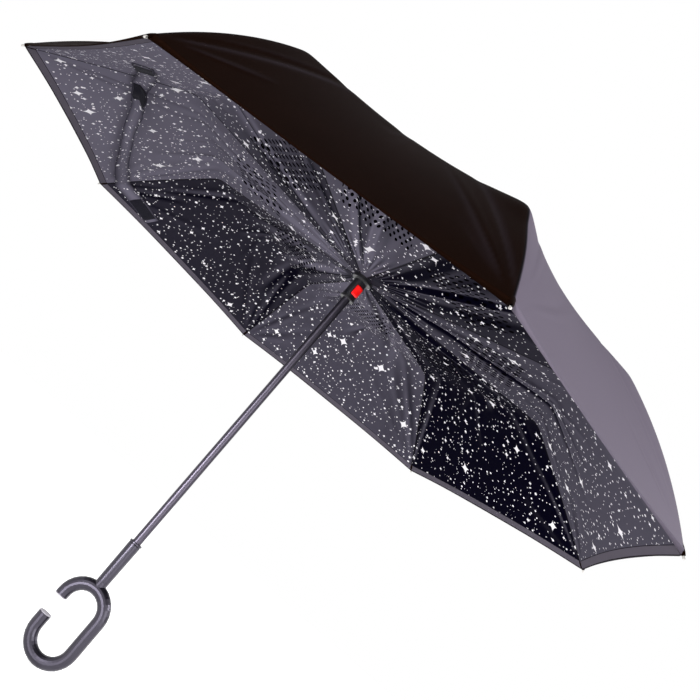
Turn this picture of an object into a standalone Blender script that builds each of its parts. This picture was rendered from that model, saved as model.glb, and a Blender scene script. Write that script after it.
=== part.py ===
"""Inverted umbrella: a two-layer canopy on a folding frame that closes upward, with a C grip."""

import math

import bmesh
import bpy
from mathutils import Matrix, Vector

# Canopy frame: radii from the shaft axis, heights above the centre of the C grip
RIBS = 8
STEP = 2 * math.pi / RIBS
FIRST_RIB = STEP / 2
RIM_RADIUS = 0.530
RIM_HEIGHT = 0.510
FIT = 0.0003
SEAT = 0.0002

# Shaft and C grip
SHAFT_RADIUS = 0.0060
SHAFT_WALL = 0.0008
TUBE_RADIUS = 0.0090
GRIP_HALF_WIDTH = 0.0300
GRIP_HALF_STRAIGHT = 0.0245
MOUTH_TOP = 0.0186
MOUTH_BOTTOM = -0.0077
END_CAP = 0.0014
BOSS_RADIUS = 0.0082
BOSS_HEIGHT = 0.0030
SLEEVE_LENGTH = 0.0595
SLEEVE_TOP_RADIUS = 0.0087
SLEEVE_RING = 0.0030
SHAFT_SOCKET = 0.0055

# Runner, which carries the ribs
RIB_PIVOT_RADIUS = 0.0130
RIB_PIVOT_RISE = 0.088
RIB_PIVOT_HEIGHT = RIM_HEIGHT + RIB_PIVOT_RISE
FLANGE_RADIUS = 0.0155
FLANGE_ABOVE = 0.0050
FLANGE_BELOW = 0.0080
RUNNER_RADIUS = 0.0100
RUNNER_BELOW = 0.0370
RUNNER_BORE = SHAFT_RADIUS + FIT
COLLAR_RADIUS = 0.0111
COLLAR_HEIGHT = 0.0037
WIRE_RADIUS = 0.0006
WIRE_GROOVE = WIRE_RADIUS + FIT
TONGUE = 0.0022
SLOT = TONGUE + 2 * FIT

# Release button and the catch on the shaft
BUTTON_TURN = math.radians(-52)
BUTTON_WIDTH = 0.0116
BUTTON_HEIGHT = 0.0158
BUTTON_DROP = 0.0250
BUTTON_CORNER = 0.0016
BUTTON_CREST = 0.0120
BUTTON_BACK = 0.0090
POCKET_FLOOR = 0.0074
SPRING_SHEET = 0.00025
SPRING_WIDTH = 0.0040
CATCH_WIDTH = 0.0020
CATCH_LENGTH = 0.0110
CATCH_CREST = 0.0074

# Crown and cap at the top of the shaft
STRUT_PIVOT_RADIUS = 0.0120
STRUT_PIVOT_RISE = 0.158
STRUT_PIVOT_HEIGHT = RIM_HEIGHT + STRUT_PIVOT_RISE
CROWN_RADIUS = 0.0140
CROWN_BELOW = 0.0060
CROWN_ABOVE = 0.0096
SPIGOT_RADIUS = 0.0030
SPIGOT_HEIGHT = 0.0064
CAP_RADIUS = 0.0170
CAP_TOP_RADIUS = 0.0064
CAP_HEIGHT = 0.0210
CLOTH = 0.0007

# Ribs, rods and struts
KNEE_RADIUS = 0.352
KNEE_RISE = 0.141
KNEE_HEIGHT = RIM_HEIGHT + KNEE_RISE
STRUT_POINT_RADIUS = 0.244
STRUT_POINT_RISE = 0.138
STRUT_POINT_HEIGHT = RIM_HEIGHT + STRUT_POINT_RISE
RIB_WIDTH = 0.0040
RIB_ABOVE = 0.0024
RIB_BELOW = 0.0016
RIB_SHEET = 0.0005
RIB_START = 0.0060
STRUT_WIDTH = 0.0026
STRUT_HEIGHT = 0.0032
STRUT_SHEET = 0.0005
STRUT_JOG = (0.0140, 0.0200, 0.0260)
STRUT_TAB = 0.0120
TAB_SHEET = 0.0010
RIVET_RADIUS = 0.0013
RIVET_PROUD = 0.0006
EYE_RADIUS = 0.0024
EYE_TONGUE = 0.0140
EYE_HALF = 0.0014
EYE_HOLE = WIRE_RADIUS + FIT
KNEE_PIN = 0.0005
KNEE_EYE = 0.0016
KNEE_REST = 0.0013
ROD_RADIUS = 0.0012
ROD_ARCH = 0.0090
TIP_RADIUS = 0.0016
TIP_LENGTH = 0.0200
TIP_PROUD = 0.0080

# Canopy layers, as heights above the rim
INNER_HUB = (FLANGE_RADIUS + 0.0005, RIB_PIVOT_RISE - 0.0029)
INNER_KNEE = (KNEE_RADIUS - 0.0170, KNEE_RISE - 0.0310)
OUTER_HUB = (SHAFT_RADIUS, STRUT_PIVOT_RISE + CROWN_ABOVE + 0.0006)
OUTER_KNEE = (KNEE_RADIUS + 0.0180, KNEE_RISE + 0.0085)
OUTER_DOME = 0.004
OUTER_SIDE = 0.0095
INNER_SIDE = 0.002
LAYER_GAP = TIP_RADIUS + 0.0011
EDGE_GAP = FIT / 2
INNER_HOLLOW = (1.22, 1.34)
OUTER_HOLLOW = (1.85, 1.34)

# Closure strap, given by its turn about the axis and its share of the way from knee to rim
STRAP_WIDTH = 0.030
STRAP_SHEET = 0.0010
STRAP_DROP = 0.0006
STRAP_LINE = (
    (224, 0.651), (213, 0.472), (202.5, 0.374), (195, 0.431), (186, 0.538), (175, 0.651),
    (168, 0.728), (161, 0.779), (154, 0.831), (147, 0.887),
)
PAD_SHEET = 0.0012
PAD_INSET = 0.0025

COLOURS = {
    "plastic": (0.055, 0.048, 0.062),
    "black": (0.012, 0.012, 0.014),
    "steel": (0.42, 0.42, 0.44),
    "shaft": (0.09, 0.09, 0.10),
    "red": (0.80, 0.01, 0.01),
    "grey": (0.45, 0.45, 0.47),
    "fibre": (0.03, 0.03, 0.035),
    "outer": (0.030, 0.020, 0.020),
    "inner": (0.045, 0.040, 0.060),
}


def clear_scene():
    """Removes every object of the startup scene."""
    for obj in list(bpy.data.objects):
        bpy.data.objects.remove(obj, do_unlink=True)


def make_material(name, kind):
    """A material of this object's own."""
    material = bpy.data.materials.new(name)
    material.use_nodes = True
    shader = material.node_tree.nodes["Principled BSDF"]
    shader.inputs["Base Color"].default_value = (*COLOURS[kind], 1.0)
    shader.inputs["Metallic"].default_value = 1.0 if kind in ("steel", "shaft") else 0.0
    shader.inputs["Roughness"].default_value = 0.85 if kind in ("outer", "inner") else 0.4
    return material


def mesh_from(name, points, faces):
    """A mesh with its faces turned outward."""
    mesh = bpy.data.meshes.new(name)
    mesh.from_pydata([tuple(point) for point in points], [], faces)
    work = bmesh.new()
    work.from_mesh(mesh)
    bmesh.ops.recalc_face_normals(work, faces=work.faces)
    work.to_mesh(mesh)
    work.free()
    return mesh


def add_object(name, mesh, kind, matrix=None, smooth=True):
    """Links a mesh as an object of the umbrella."""
    obj = bpy.data.objects.new(name, mesh)
    bpy.context.scene.collection.objects.link(obj)
    mesh.materials.clear()
    mesh.materials.append(make_material(name, kind))
    if smooth:
        mesh.shade_smooth()
        mesh.set_sharp_from_angle(angle=math.radians(35))
    if matrix is not None:
        obj.matrix_world = matrix
    return obj


def revolved(profile, segments):
    """A mesh turned about Z from a closed loop of (radius, height) points."""
    points = []
    rings = []
    for radius, height in profile:
        if radius < 1e-7:
            rings.append([len(points)])
            points.append((0.0, 0.0, height))
            continue
        rings.append(list(range(len(points), len(points) + segments)))
        for index in range(segments):
            turn = 2 * math.pi * index / segments
            points.append((radius * math.cos(turn), radius * math.sin(turn), height))
    faces = []
    for start, ring in enumerate(rings):
        after = rings[(start + 1) % len(rings)]
        if len(ring) == 1 and len(after) == 1:
            continue
        for index in range(segments):
            nearby = (index + 1) % segments
            if len(ring) == 1:
                faces.append((ring[0], after[index], after[nearby]))
            elif len(after) == 1:
                faces.append((ring[index], ring[nearby], after[0]))
            else:
                faces.append((ring[index], ring[nearby], after[nearby], after[index]))
    return mesh_from("turned", points, faces)


def prism(outline, low, high, axis="Y"):
    """A mesh from an outline in the plane of the two other axes, pushed along one axis."""
    order = {"X": (2, 0, 1), "Y": (0, 2, 1), "Z": (0, 1, 2)}[axis]
    points = []
    for depth in (low, high):
        for first, second in outline:
            place = (first, second, depth)
            points.append(tuple(place[index] for index in order))
    count = len(outline)
    faces = [tuple(range(count)), tuple(range(count, 2 * count))]
    for index in range(count):
        nearby = (index + 1) % count
        faces.append((index, nearby, count + nearby, count + index))
    return mesh_from("prism", points, faces)


def box(low, high):
    """A box between two corners."""
    outline = [(low[0], low[2]), (high[0], low[2]), (high[0], high[2]), (low[0], high[2])]
    return prism(outline, low[1], high[1])


def disc_outline(centre, radius, count):
    """A round outline, with flat sides up and down."""
    turns = [2 * math.pi * (index + 0.5) / count for index in range(count)]
    return [
        (centre[0] + radius * math.cos(turn), centre[1] + radius * math.sin(turn))
        for turn in turns
    ]


def swept(path, radii, sides, across):
    """A closed tube along a path in a plane whose normal is across."""
    points = []
    count = len(path)
    for index, place in enumerate(path):
        ahead = path[min(index + 1, count - 1)] - path[max(index - 1, 0)]
        ahead.normalize()
        up = across.cross(ahead)
        for side in range(sides):
            turn = 2 * math.pi * (side + 0.5) / sides
            offset = across * math.cos(turn) + up * math.sin(turn)
            points.append(place + offset * radii[index])
    faces = [tuple(range(sides)), tuple(range((count - 1) * sides, count * sides))]
    for index in range(count - 1):
        for side in range(sides):
            nearby = (side + 1) % sides
            low = index * sides
            high = low + sides
            faces.append((low + side, low + nearby, high + nearby, high + side))
    return mesh_from("tube", points, faces)


def moved(mesh, matrix):
    """The same mesh after a move."""
    mesh.transform(matrix)
    return mesh


def merged(meshes):
    """One mesh that holds several separate bodies, for use as one cutter."""
    work = bmesh.new()
    for mesh in meshes:
        work.from_mesh(mesh)
    joined = bpy.data.meshes.new("bodies")
    work.to_mesh(joined)
    work.free()
    return joined


def combine(base, other, operation):
    """The result of one exact Boolean between two meshes."""
    first = bpy.data.objects.new("base", base)
    second = bpy.data.objects.new("other", other)
    for obj in (first, second):
        bpy.context.scene.collection.objects.link(obj)
    step = first.modifiers.new("step", "BOOLEAN")
    step.operation = operation
    step.solver = "EXACT"
    step.object = second
    graph = bpy.context.evaluated_depsgraph_get()
    result = bpy.data.meshes.new_from_object(first.evaluated_get(graph))
    bpy.data.objects.remove(first, do_unlink=True)
    bpy.data.objects.remove(second, do_unlink=True)
    return result


def around_z(turn):
    """A turn about the shaft axis."""
    return Matrix.Rotation(turn, 4, "Z")


def rib_turn(index):
    """The turn of rib number index, counted from 0."""
    return FIRST_RIB + STEP * index


def pivot_frame(index, radius, height, slope):
    """The frame of a pivot: X runs along the member, Y lies along the hinge axis."""
    place = around_z(rib_turn(index)) @ Matrix.Translation((radius, 0, height))
    return place @ Matrix.Rotation(-slope, 4, "Y")


def slope_between(start, end):
    """Length and slope of the line from one (radius, height) point to another."""
    span = Vector((end[0] - start[0], end[1] - start[1]))
    return span.length, math.atan2(span.y, span.x)


RIB_PIVOT = (RIB_PIVOT_RADIUS, RIB_PIVOT_HEIGHT)
KNEE = (KNEE_RADIUS, KNEE_HEIGHT)
STRUT_END = (STRUT_POINT_RADIUS, STRUT_POINT_HEIGHT)
STRUT_POINT, RIB_SLOPE = slope_between(RIB_PIVOT, STRUT_END)
KNEE_REACH, KNEE_SLOPE = slope_between(RIB_PIVOT, KNEE)
RIB_LENGTH = KNEE_REACH * math.cos(KNEE_SLOPE - RIB_SLOPE)
RIB_DROP = KNEE_REACH * math.sin(RIB_SLOPE - KNEE_SLOPE)
ROD_LENGTH, ROD_SLOPE = slope_between(KNEE, (RIM_RADIUS, RIM_HEIGHT))
STRUT_PIVOT = (STRUT_PIVOT_RADIUS, STRUT_PIVOT_HEIGHT)
STRUT_LENGTH, STRUT_SLOPE = slope_between(STRUT_PIVOT, STRUT_END)
GRIP_TOP = GRIP_HALF_STRAIGHT + GRIP_HALF_WIDTH + TUBE_RADIUS
BOSS_TOP = GRIP_TOP + BOSS_HEIGHT
SLEEVE_TOP = BOSS_TOP + SEAT + SLEEVE_LENGTH
SHAFT_BOTTOM = BOSS_TOP + SEAT + SHAFT_SOCKET
SHAFT_TOP = STRUT_PIVOT_HEIGHT + 0.0026
CATCH_TOP = RIB_PIVOT_HEIGHT - RUNNER_BELOW - COLLAR_HEIGHT - 0.0050


def grip_path():
    """Centre line of the C, from the upper side of its mouth round to the lower side."""
    width = GRIP_HALF_WIDTH
    half = GRIP_HALF_STRAIGHT
    path = [Vector((-width, 0, MOUTH_TOP + END_CAP + SEAT))]
    turns = 16
    for index in range(turns + 1):
        turn = math.pi - math.pi * index / turns
        path.append(Vector((width * math.cos(turn), 0, half + width * math.sin(turn))))
    for index in range(turns + 1):
        turn = -math.pi * index / turns
        path.append(Vector((width * math.cos(turn), 0, -half + width * math.sin(turn))))
    path.append(Vector((-width, 0, MOUTH_BOTTOM - END_CAP - SEAT)))
    return path


def build_grip():
    """C grip with its boss, and a flat cap in each end of the mouth."""
    path = grip_path()
    tube = swept(path, [TUBE_RADIUS] * len(path), 20, Vector((0, 1, 0)))
    low = GRIP_HALF_STRAIGHT + GRIP_HALF_WIDTH
    boss = revolved([(0, low), (BOSS_RADIUS, low), (BOSS_RADIUS, BOSS_TOP), (0, BOSS_TOP)], 20)
    add_object("c_grip", combine(tube, boss, "UNION"), "plastic")
    edge = TUBE_RADIUS - 0.0004
    for name, low, high in (
        ("grip_cap_upper", MOUTH_TOP, MOUTH_TOP + END_CAP),
        ("grip_cap_lower", MOUTH_BOTTOM, MOUTH_BOTTOM - END_CAP),
    ):
        step = (high - low) * 0.3
        profile = [(0, low), (edge - abs(step), low), (edge, low + step), (edge, high), (0, high)]
        add_object(
            name, revolved(profile, 20), "grey", Matrix.Translation((-GRIP_HALF_WIDTH, 0, 0))
        )


def build_sleeve():
    """Sleeve between grip and shaft, with the ring that closes its top."""
    low = BOSS_TOP + SEAT
    bore = SHAFT_RADIUS + SEAT
    edge = 0.0005
    profile = [
        (0, low), (BOSS_RADIUS, low), (SLEEVE_TOP_RADIUS, SLEEVE_TOP - edge),
        (SLEEVE_TOP_RADIUS - edge, SLEEVE_TOP), (bore, SLEEVE_TOP),
        (bore, SHAFT_BOTTOM - SEAT), (0, SHAFT_BOTTOM - SEAT),
    ]
    add_object("handle_sleeve", revolved(profile, 32), "plastic")
    low = SLEEVE_TOP + SEAT
    high = low + SLEEVE_RING
    wide = SLEEVE_TOP_RADIUS + edge
    profile = [
        (bore, low), (wide - edge, low), (wide, low + edge), (wide, high - edge),
        (wide - edge, high), (bore, high),
    ]
    add_object("sleeve_ring", revolved(profile, 32), "black")


def build_shaft():
    """Shaft tube with the slot of its catch, and the catch that stands proud of it."""
    inner = SHAFT_RADIUS - SHAFT_WALL
    profile = [
        (inner, SHAFT_BOTTOM), (SHAFT_RADIUS, SHAFT_BOTTOM), (SHAFT_RADIUS, SHAFT_TOP),
        (inner, SHAFT_TOP),
    ]
    catch_turn = around_z(BUTTON_TURN + math.pi)
    half = CATCH_WIDTH / 2 + SEAT
    low = CATCH_TOP - CATCH_LENGTH
    slot = box((inner - 0.001, -half, low - FIT), (SHAFT_RADIUS + 0.001, half, CATCH_TOP + FIT))
    shaft = combine(revolved(profile, 32), moved(slot, catch_turn), "DIFFERENCE")
    add_object("shaft_tube", shaft, "shaft")
    back = SHAFT_RADIUS - SHAFT_WALL
    outline = [
        (back, low), (SHAFT_RADIUS, low), (CATCH_CREST, CATCH_TOP - 0.003),
        (CATCH_CREST, CATCH_TOP - 0.001), (CATCH_CREST - 0.0005, CATCH_TOP), (back, CATCH_TOP),
    ]
    catch = prism(outline, -CATCH_WIDTH / 2, CATCH_WIDTH / 2)
    add_object("shaft_catch", moved(catch, catch_turn), "steel", smooth=False)


def keyway(low, high):
    """Cutter for the groove that lets a sliding part pass the catch."""
    half = CATCH_WIDTH / 2 + FIT
    cutter = box((SHAFT_RADIUS - 0.001, -half, low), (CATCH_CREST + FIT, half, high))
    return moved(cutter, around_z(BUTTON_TURN + math.pi))


def slots(radius, low, high):
    """Cutter for the eight hinge slots, from this radius outward."""
    cuts = []
    for index in range(RIBS):
        cut = box((radius, -SLOT / 2, low), (0.030, SLOT / 2, high))
        cuts.append(moved(cut, around_z(rib_turn(index))))
    return merged(cuts)


def wire_ring(name, radius, height):
    """The wire that the members of one row hinge on."""
    turns = 32
    section = [
        (radius + x, height + z) for x, z in disc_outline((0, 0), WIRE_RADIUS, 6)
    ]
    add_object(name, revolved(section, turns), "steel")


def build_runner():
    """Runner with flange, slots, keyway and button pocket, and its collar and wire."""
    level = RIB_PIVOT_HEIGHT
    edge = 0.0004
    groove = RIB_PIVOT_RADIUS - WIRE_GROOVE
    bottom = level - RUNNER_BELOW
    flange = level - FLANGE_BELOW
    top = level + FLANGE_ABOVE
    profile = [
        (RUNNER_BORE, bottom), (RUNNER_RADIUS - edge, bottom), (RUNNER_RADIUS, bottom + edge),
        (RUNNER_RADIUS, flange - 0.0012), (RUNNER_RADIUS + 0.0010, flange),
        (FLANGE_RADIUS - edge, flange), (FLANGE_RADIUS, flange + edge),
        (FLANGE_RADIUS, level - WIRE_GROOVE), (groove, level - WIRE_GROOVE),
        (groove, level + WIRE_GROOVE), (FLANGE_RADIUS, level + WIRE_GROOVE),
        (FLANGE_RADIUS, top - edge), (FLANGE_RADIUS - edge, top), (RUNNER_BORE, top),
    ]
    inner = RIB_PIVOT_RADIUS - EYE_RADIUS - 0.0008
    body = combine(
        revolved(profile, 32), slots(inner, level - EYE_RADIUS - 0.0008, top + 0.01), "DIFFERENCE"
    )
    body = combine(body, keyway(bottom - 0.001, top + 0.001), "DIFFERENCE")
    middle = level - BUTTON_DROP
    half = BUTTON_HEIGHT / 2 + FIT
    side = BUTTON_WIDTH / 2 + FIT
    pocket = box((POCKET_FLOOR, -side, middle - half), (0.020, side, middle + half))
    body = combine(body, moved(pocket, around_z(BUTTON_TURN)), "DIFFERENCE")
    add_object("runner_body", body, "black")
    high = bottom - SEAT
    low = high - COLLAR_HEIGHT
    profile = [
        (RUNNER_BORE, low), (COLLAR_RADIUS - 2 * edge, low), (COLLAR_RADIUS, low + 2 * edge),
        (COLLAR_RADIUS, high - edge), (COLLAR_RADIUS - edge, high), (RUNNER_BORE, high),
    ]
    collar = combine(revolved(profile, 32), keyway(low - 0.001, high + 0.001), "DIFFERENCE")
    add_object("runner_collar", collar, "black")
    wire_ring("runner_wire", RIB_PIVOT_RADIUS, level)


def rounded_outline(width, height, corner, steps):
    """A rectangle outline with round corners."""
    outline = []
    for quarter, (x_side, z_side) in enumerate(((1, 1), (-1, 1), (-1, -1), (1, -1))):
        for index in range(steps + 1):
            turn = math.pi / 2 * (quarter + index / steps)
            x = x_side * (width / 2 - corner) + corner * math.cos(turn)
            z = z_side * (height / 2 - corner) + corner * math.sin(turn)
            outline.append((x, z))
    return outline


def build_button():
    """Red release button with a face that follows the runner, and the leaf spring behind it."""
    middle = RIB_PIVOT_HEIGHT - BUTTON_DROP
    outline = [
        (y, middle + z)
        for y, z in rounded_outline(BUTTON_WIDTH, BUTTON_HEIGHT, BUTTON_CORNER, 3)
    ]
    blank = prism(outline, BUTTON_BACK, 0.020, axis="X")
    half = BUTTON_HEIGHT
    bevel = 0.0009
    face = BUTTON_HEIGHT / 2
    profile = [
        (0, middle - half), (BUTTON_CREST - 4 * bevel, middle - half),
        (BUTTON_CREST - bevel, middle - face), (BUTTON_CREST, middle - face + 2 * bevel),
        (BUTTON_CREST, middle + face - 2 * bevel), (BUTTON_CREST - bevel, middle + face),
        (BUTTON_CREST - 4 * bevel, middle + half), (0, middle + half),
    ]
    button = combine(blank, revolved(profile, 48), "INTERSECT")
    place = Vector((BUTTON_BACK, 0, middle))
    moved(button, Matrix.Translation(-place))
    frame = around_z(BUTTON_TURN) @ Matrix.Translation(place)
    add_object("release_button", button, "red", frame)
    low = POCKET_FLOOR + SPRING_SHEET / 2 + 0.00005
    high = BUTTON_BACK - SPRING_SHEET / 2 - 0.00005
    line = [(low, -0.0065), (low, -0.0050), (high, -0.0018), (high, 0.0018)]
    line += [(low, 0.0050), (low, 0.0065)]
    near = [(x - SPRING_SHEET / 2, middle + z) for x, z in line]
    far = [(x + SPRING_SHEET / 2, middle + z) for x, z in reversed(line)]
    leaf = prism(near + far, -SPRING_WIDTH / 2, SPRING_WIDTH / 2)
    add_object("button_spring", moved(leaf, around_z(BUTTON_TURN)), "steel", smooth=False)


def build_crown():
    """Crown that the struts hinge on, its wire, and the cap that clamps the outer canopy."""
    level = STRUT_PIVOT_HEIGHT
    edge = 0.0004
    bottom = level - CROWN_BELOW
    top = level + CROWN_ABOVE
    groove = STRUT_PIVOT_RADIUS - WIRE_GROOVE
    bore = SHAFT_RADIUS + SEAT
    profile = [
        (bore, bottom), (CROWN_RADIUS - edge, bottom), (CROWN_RADIUS, bottom + edge),
        (CROWN_RADIUS, level - WIRE_GROOVE), (groove, level - WIRE_GROOVE),
        (groove, level + WIRE_GROOVE), (CROWN_RADIUS, level + WIRE_GROOVE),
        (CROWN_RADIUS, top - edge), (CROWN_RADIUS - edge, top), (SPIGOT_RADIUS, top),
        (SPIGOT_RADIUS, top + SPIGOT_HEIGHT), (0, top + SPIGOT_HEIGHT),
        (0, SHAFT_TOP + SEAT), (bore, SHAFT_TOP + SEAT),
    ]
    inner = STRUT_PIVOT_RADIUS - EYE_RADIUS - 0.0008
    cutter = slots(inner, bottom - 0.01, level + EYE_RADIUS + 0.0008)
    add_object("crown", combine(revolved(profile, 32), cutter, "DIFFERENCE"), "black")
    wire_ring("crown_wire", STRUT_PIVOT_RADIUS, level)
    low = RIM_HEIGHT + OUTER_HUB[1] + CLOTH + SEAT
    hole = SPIGOT_RADIUS + SEAT
    roof = top + SPIGOT_HEIGHT + SEAT
    profile = [
        (hole, low), (CAP_RADIUS, low), (CAP_RADIUS, low + 0.0014), (CAP_RADIUS - 0.003, low + 0.0036),
        (0.0100, low + 0.0056), (0.0080, low + 0.0086), (0.0073, low + CAP_HEIGHT - 0.001),
        (CAP_TOP_RADIUS, low + CAP_HEIGHT), (0, low + CAP_HEIGHT), (0, roof), (hole, roof),
    ]
    add_object("top_cap", revolved(profile, 32), "black")


def channel(width, below, above, sheet, path):
    """A folded channel that opens downward and follows a path of (x, z) points."""
    half = width / 2
    inside = half - sheet
    section = [
        (-half, -below), (-half, above), (half, above), (half, -below),
        (inside, -below), (inside, above - sheet), (-inside, above - sheet), (-inside, -below),
    ]
    count = len(section)
    points = []
    for index, (x, z) in enumerate(path):
        back = path[max(index - 1, 0)]
        ahead = path[min(index + 1, len(path) - 1)]
        _, slope = slope_between(back, ahead)
        for side, rise in section:
            points.append((x - rise * math.sin(slope), side, z + rise * math.cos(slope)))
    faces = [tuple(range(count)), tuple(range(len(points) - count, len(points)))]
    for index in range(len(path) - 1):
        low = index * count
        for side in range(count):
            nearby = (side + 1) % count
            faces.append((low + side, low + nearby, low + count + nearby, low + count + side))
    return mesh_from("channel", points, faces)


def tongue(length, below, above):
    """Flat tongue with a round eye at the origin."""
    outline = [(length, above), (length, -below)]
    first = -math.asin(below / EYE_RADIUS)
    last = math.asin(above / EYE_RADIUS) - 2 * math.pi
    steps = 12
    for index in range(steps + 1):
        turn = first + (last - first) * index / steps
        outline.append((EYE_RADIUS * math.cos(turn), EYE_RADIUS * math.sin(turn)))
    plate = prism(outline, -TONGUE / 2, TONGUE / 2)
    hole = prism(disc_outline((0, 0), EYE_HOLE, 10), -TONGUE, TONGUE)
    return combine(plate, hole, "DIFFERENCE")


def rib_bend(share):
    """A point of the rib's bent end, from the rivet at 0 to the knee at 1."""
    return STRUT_POINT + (RIB_LENGTH - STRUT_POINT) * share, -RIB_DROP * share * share


def rib_mesh():
    """Rib: straight to the strut's rivet, then bent down to the knee pin."""
    path = [(RIB_START, 0.0), (STRUT_POINT * 0.5, 0.0), (STRUT_POINT + EYE_RADIUS, 0.0)]
    for share in (0.2, 0.4, 0.6, 0.8, 1.0):
        path.append(rib_bend(share))
    path.append(rib_bend(1.0 + KNEE_REST / (RIB_LENGTH - STRUT_POINT)))
    rib = channel(RIB_WIDTH, RIB_BELOW, RIB_ABOVE, RIB_SHEET, path)
    rib = combine(rib, tongue(EYE_TONGUE, EYE_HALF, RIB_ABOVE - RIB_SHEET / 2), "UNION")
    side = RIB_WIDTH / 2
    outline = disc_outline((STRUT_POINT, 0), RIVET_RADIUS, 12)
    rivet = prism(outline, -side - RIVET_PROUD, -side + RIB_SHEET / 2)
    rib = combine(rib, rivet, "UNION")
    pin_half = side - RIB_SHEET / 2
    pin = prism(disc_outline(rib_bend(1.0), KNEE_PIN, 8), -pin_half, pin_half)
    return combine(rib, pin, "UNION")


def strut_mesh():
    """Strut: an eye tongue at the crown, a jog to the rib's side, a channel and a riveted tab."""
    half = STRUT_HEIGHT / 2
    near = RIB_WIDTH / 2 + FIT
    middle = near + STRUT_WIDTH / 2
    inset = 0.0001
    first, second, third = STRUT_JOG
    thick = TONGUE / 2 - inset
    wide = STRUT_WIDTH / 2 - inset
    outline = [
        (first, -thick), (second, middle - wide), (third, middle - wide),
        (third, middle + wide), (second, middle + wide), (first, thick),
    ]
    strut = tongue(first + 0.002, EYE_HALF, EYE_HALF)
    strut = combine(strut, prism(outline, -0.0012, 0.0012, axis="Z"), "UNION")
    path = [(second + 0.001, 0.0), (STRUT_LENGTH - STRUT_TAB + 0.003, 0.0)]
    bar = channel(STRUT_WIDTH, half, half, STRUT_SHEET, path)
    strut = combine(strut, moved(bar, Matrix.Translation((0, middle, 0))), "UNION")
    start = STRUT_LENGTH - STRUT_TAB
    outline = [(start, half - inset), (start, -half + inset)]
    for index in range(9):
        turn = -math.pi / 2 - 0.35 + (math.pi + 0.7) * index / 8
        outline.append(
            (STRUT_LENGTH + EYE_RADIUS * math.cos(turn), EYE_RADIUS * math.sin(turn))
        )
    tab = prism(outline, near + inset, near + TAB_SHEET)
    strut = combine(strut, tab, "UNION")
    outline = disc_outline((STRUT_LENGTH, 0), RIVET_RADIUS, 12)
    rivet = prism(outline, near + TAB_SHEET / 2, near + TAB_SHEET + RIVET_PROUD)
    return combine(strut, rivet, "UNION")


def rod_mesh():
    """Springy outer rod, arched, with an eye at the knee and a capped tip."""
    whole = ROD_LENGTH + TIP_PROUD
    cap = whole - TIP_LENGTH
    stations = [cap * share for share in (0.005, 0.14, 0.31, 0.50, 0.69, 0.86, 0.9995)]
    radii = [ROD_RADIUS] * len(stations)
    stations += [cap, whole - 0.0012, whole]
    radii += [TIP_RADIUS, TIP_RADIUS, TIP_RADIUS * 0.5]
    path = []
    for along in stations:
        rise = 4 * ROD_ARCH * along / ROD_LENGTH * (1 - along / ROD_LENGTH)
        path.append(Vector((along, 0, rise)))
    rod = swept(path, radii, 8, Vector((0, 1, 0)))
    eye = prism(disc_outline((0, 0), KNEE_EYE, 12), -ROD_RADIUS, ROD_RADIUS)
    rod = combine(rod, eye, "UNION")
    hole = prism(disc_outline((0, 0), KNEE_PIN + FIT, 10), -0.002, 0.002)
    return combine(rod, hole, "DIFFERENCE")


def build_frame():
    """Eight ribs, rods and struts on their hinge axes."""
    rows = (
        ("rib", rib_mesh(), RIB_PIVOT, RIB_SLOPE, "steel"),
        ("rod", rod_mesh(), KNEE, ROD_SLOPE, "fibre"),
        ("strut", strut_mesh(), STRUT_PIVOT, STRUT_SLOPE, "steel"),
    )
    for name, mesh, (radius, height), slope, kind in rows:
        for index in range(RIBS):
            frame = pivot_frame(index, radius, height, slope)
            add_object(f"{name}_{index + 1}", mesh.copy(), kind, frame)


def arched(start, end, share, rise):
    """A point on a line that is arched by rise across its own direction."""
    length, slope = slope_between(start, end)
    lift = 4 * rise * share * (1 - share)
    radius = start[0] + (end[0] - start[0]) * share - lift * math.sin(slope)
    return radius, start[1] + (end[1] - start[1]) * share + lift * math.cos(slope)


def inner_line(share):
    """Inner layer along a rib: hub at 0, knee at 1, rim at 2."""
    if share <= 1:
        return arched(INNER_HUB, INNER_KNEE, share, 0.0)
    return arched(INNER_KNEE, (RIM_RADIUS, 0.0), share - 1, INNER_SIDE)


def outer_line(share):
    """Outer layer along a rib: hub at 0, knee at 1, rim at 2."""
    flat = (CAP_RADIUS + 0.0010, OUTER_HUB[1])
    if share <= 0.08:
        return arched(OUTER_HUB, flat, share / 0.08, 0.0)
    if share <= 1:
        return arched(flat, OUTER_KNEE, (share - 0.08) / 0.92, OUTER_DOME)
    return arched(OUTER_KNEE, (RIM_RADIUS, 0.0), share - 1, OUTER_SIDE)


def hollow_at(line, share):
    """How far the cloth is drawn in between two ribs, where 1 is a straight chord."""
    knee, rim = OUTER_HOLLOW if line is outer_line else INNER_HOLLOW
    if share > 1:
        return knee + (rim - knee) * (share - 1)
    return min(1.0, share / 0.1) + (knee - 1) * max(0.0, share - 0.1) / 0.9


def gore_point(line, index, across, share, lift):
    """A point of the cloth between rib index and the next one."""
    radius, height = line(share)
    hollow = hollow_at(line, share)
    margin = min(0.2, EDGE_GAP / (STEP * radius))
    place = margin + (1 - 2 * margin) * across
    chord = math.cos(STEP / 2) / math.cos(STEP / 2 - STEP * place)
    radius *= 1 - (1 - chord) * hollow
    turn = rib_turn(index) + STEP * place
    return Vector((radius * math.cos(turn), radius * math.sin(turn), RIM_HEIGHT + height + lift))


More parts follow.
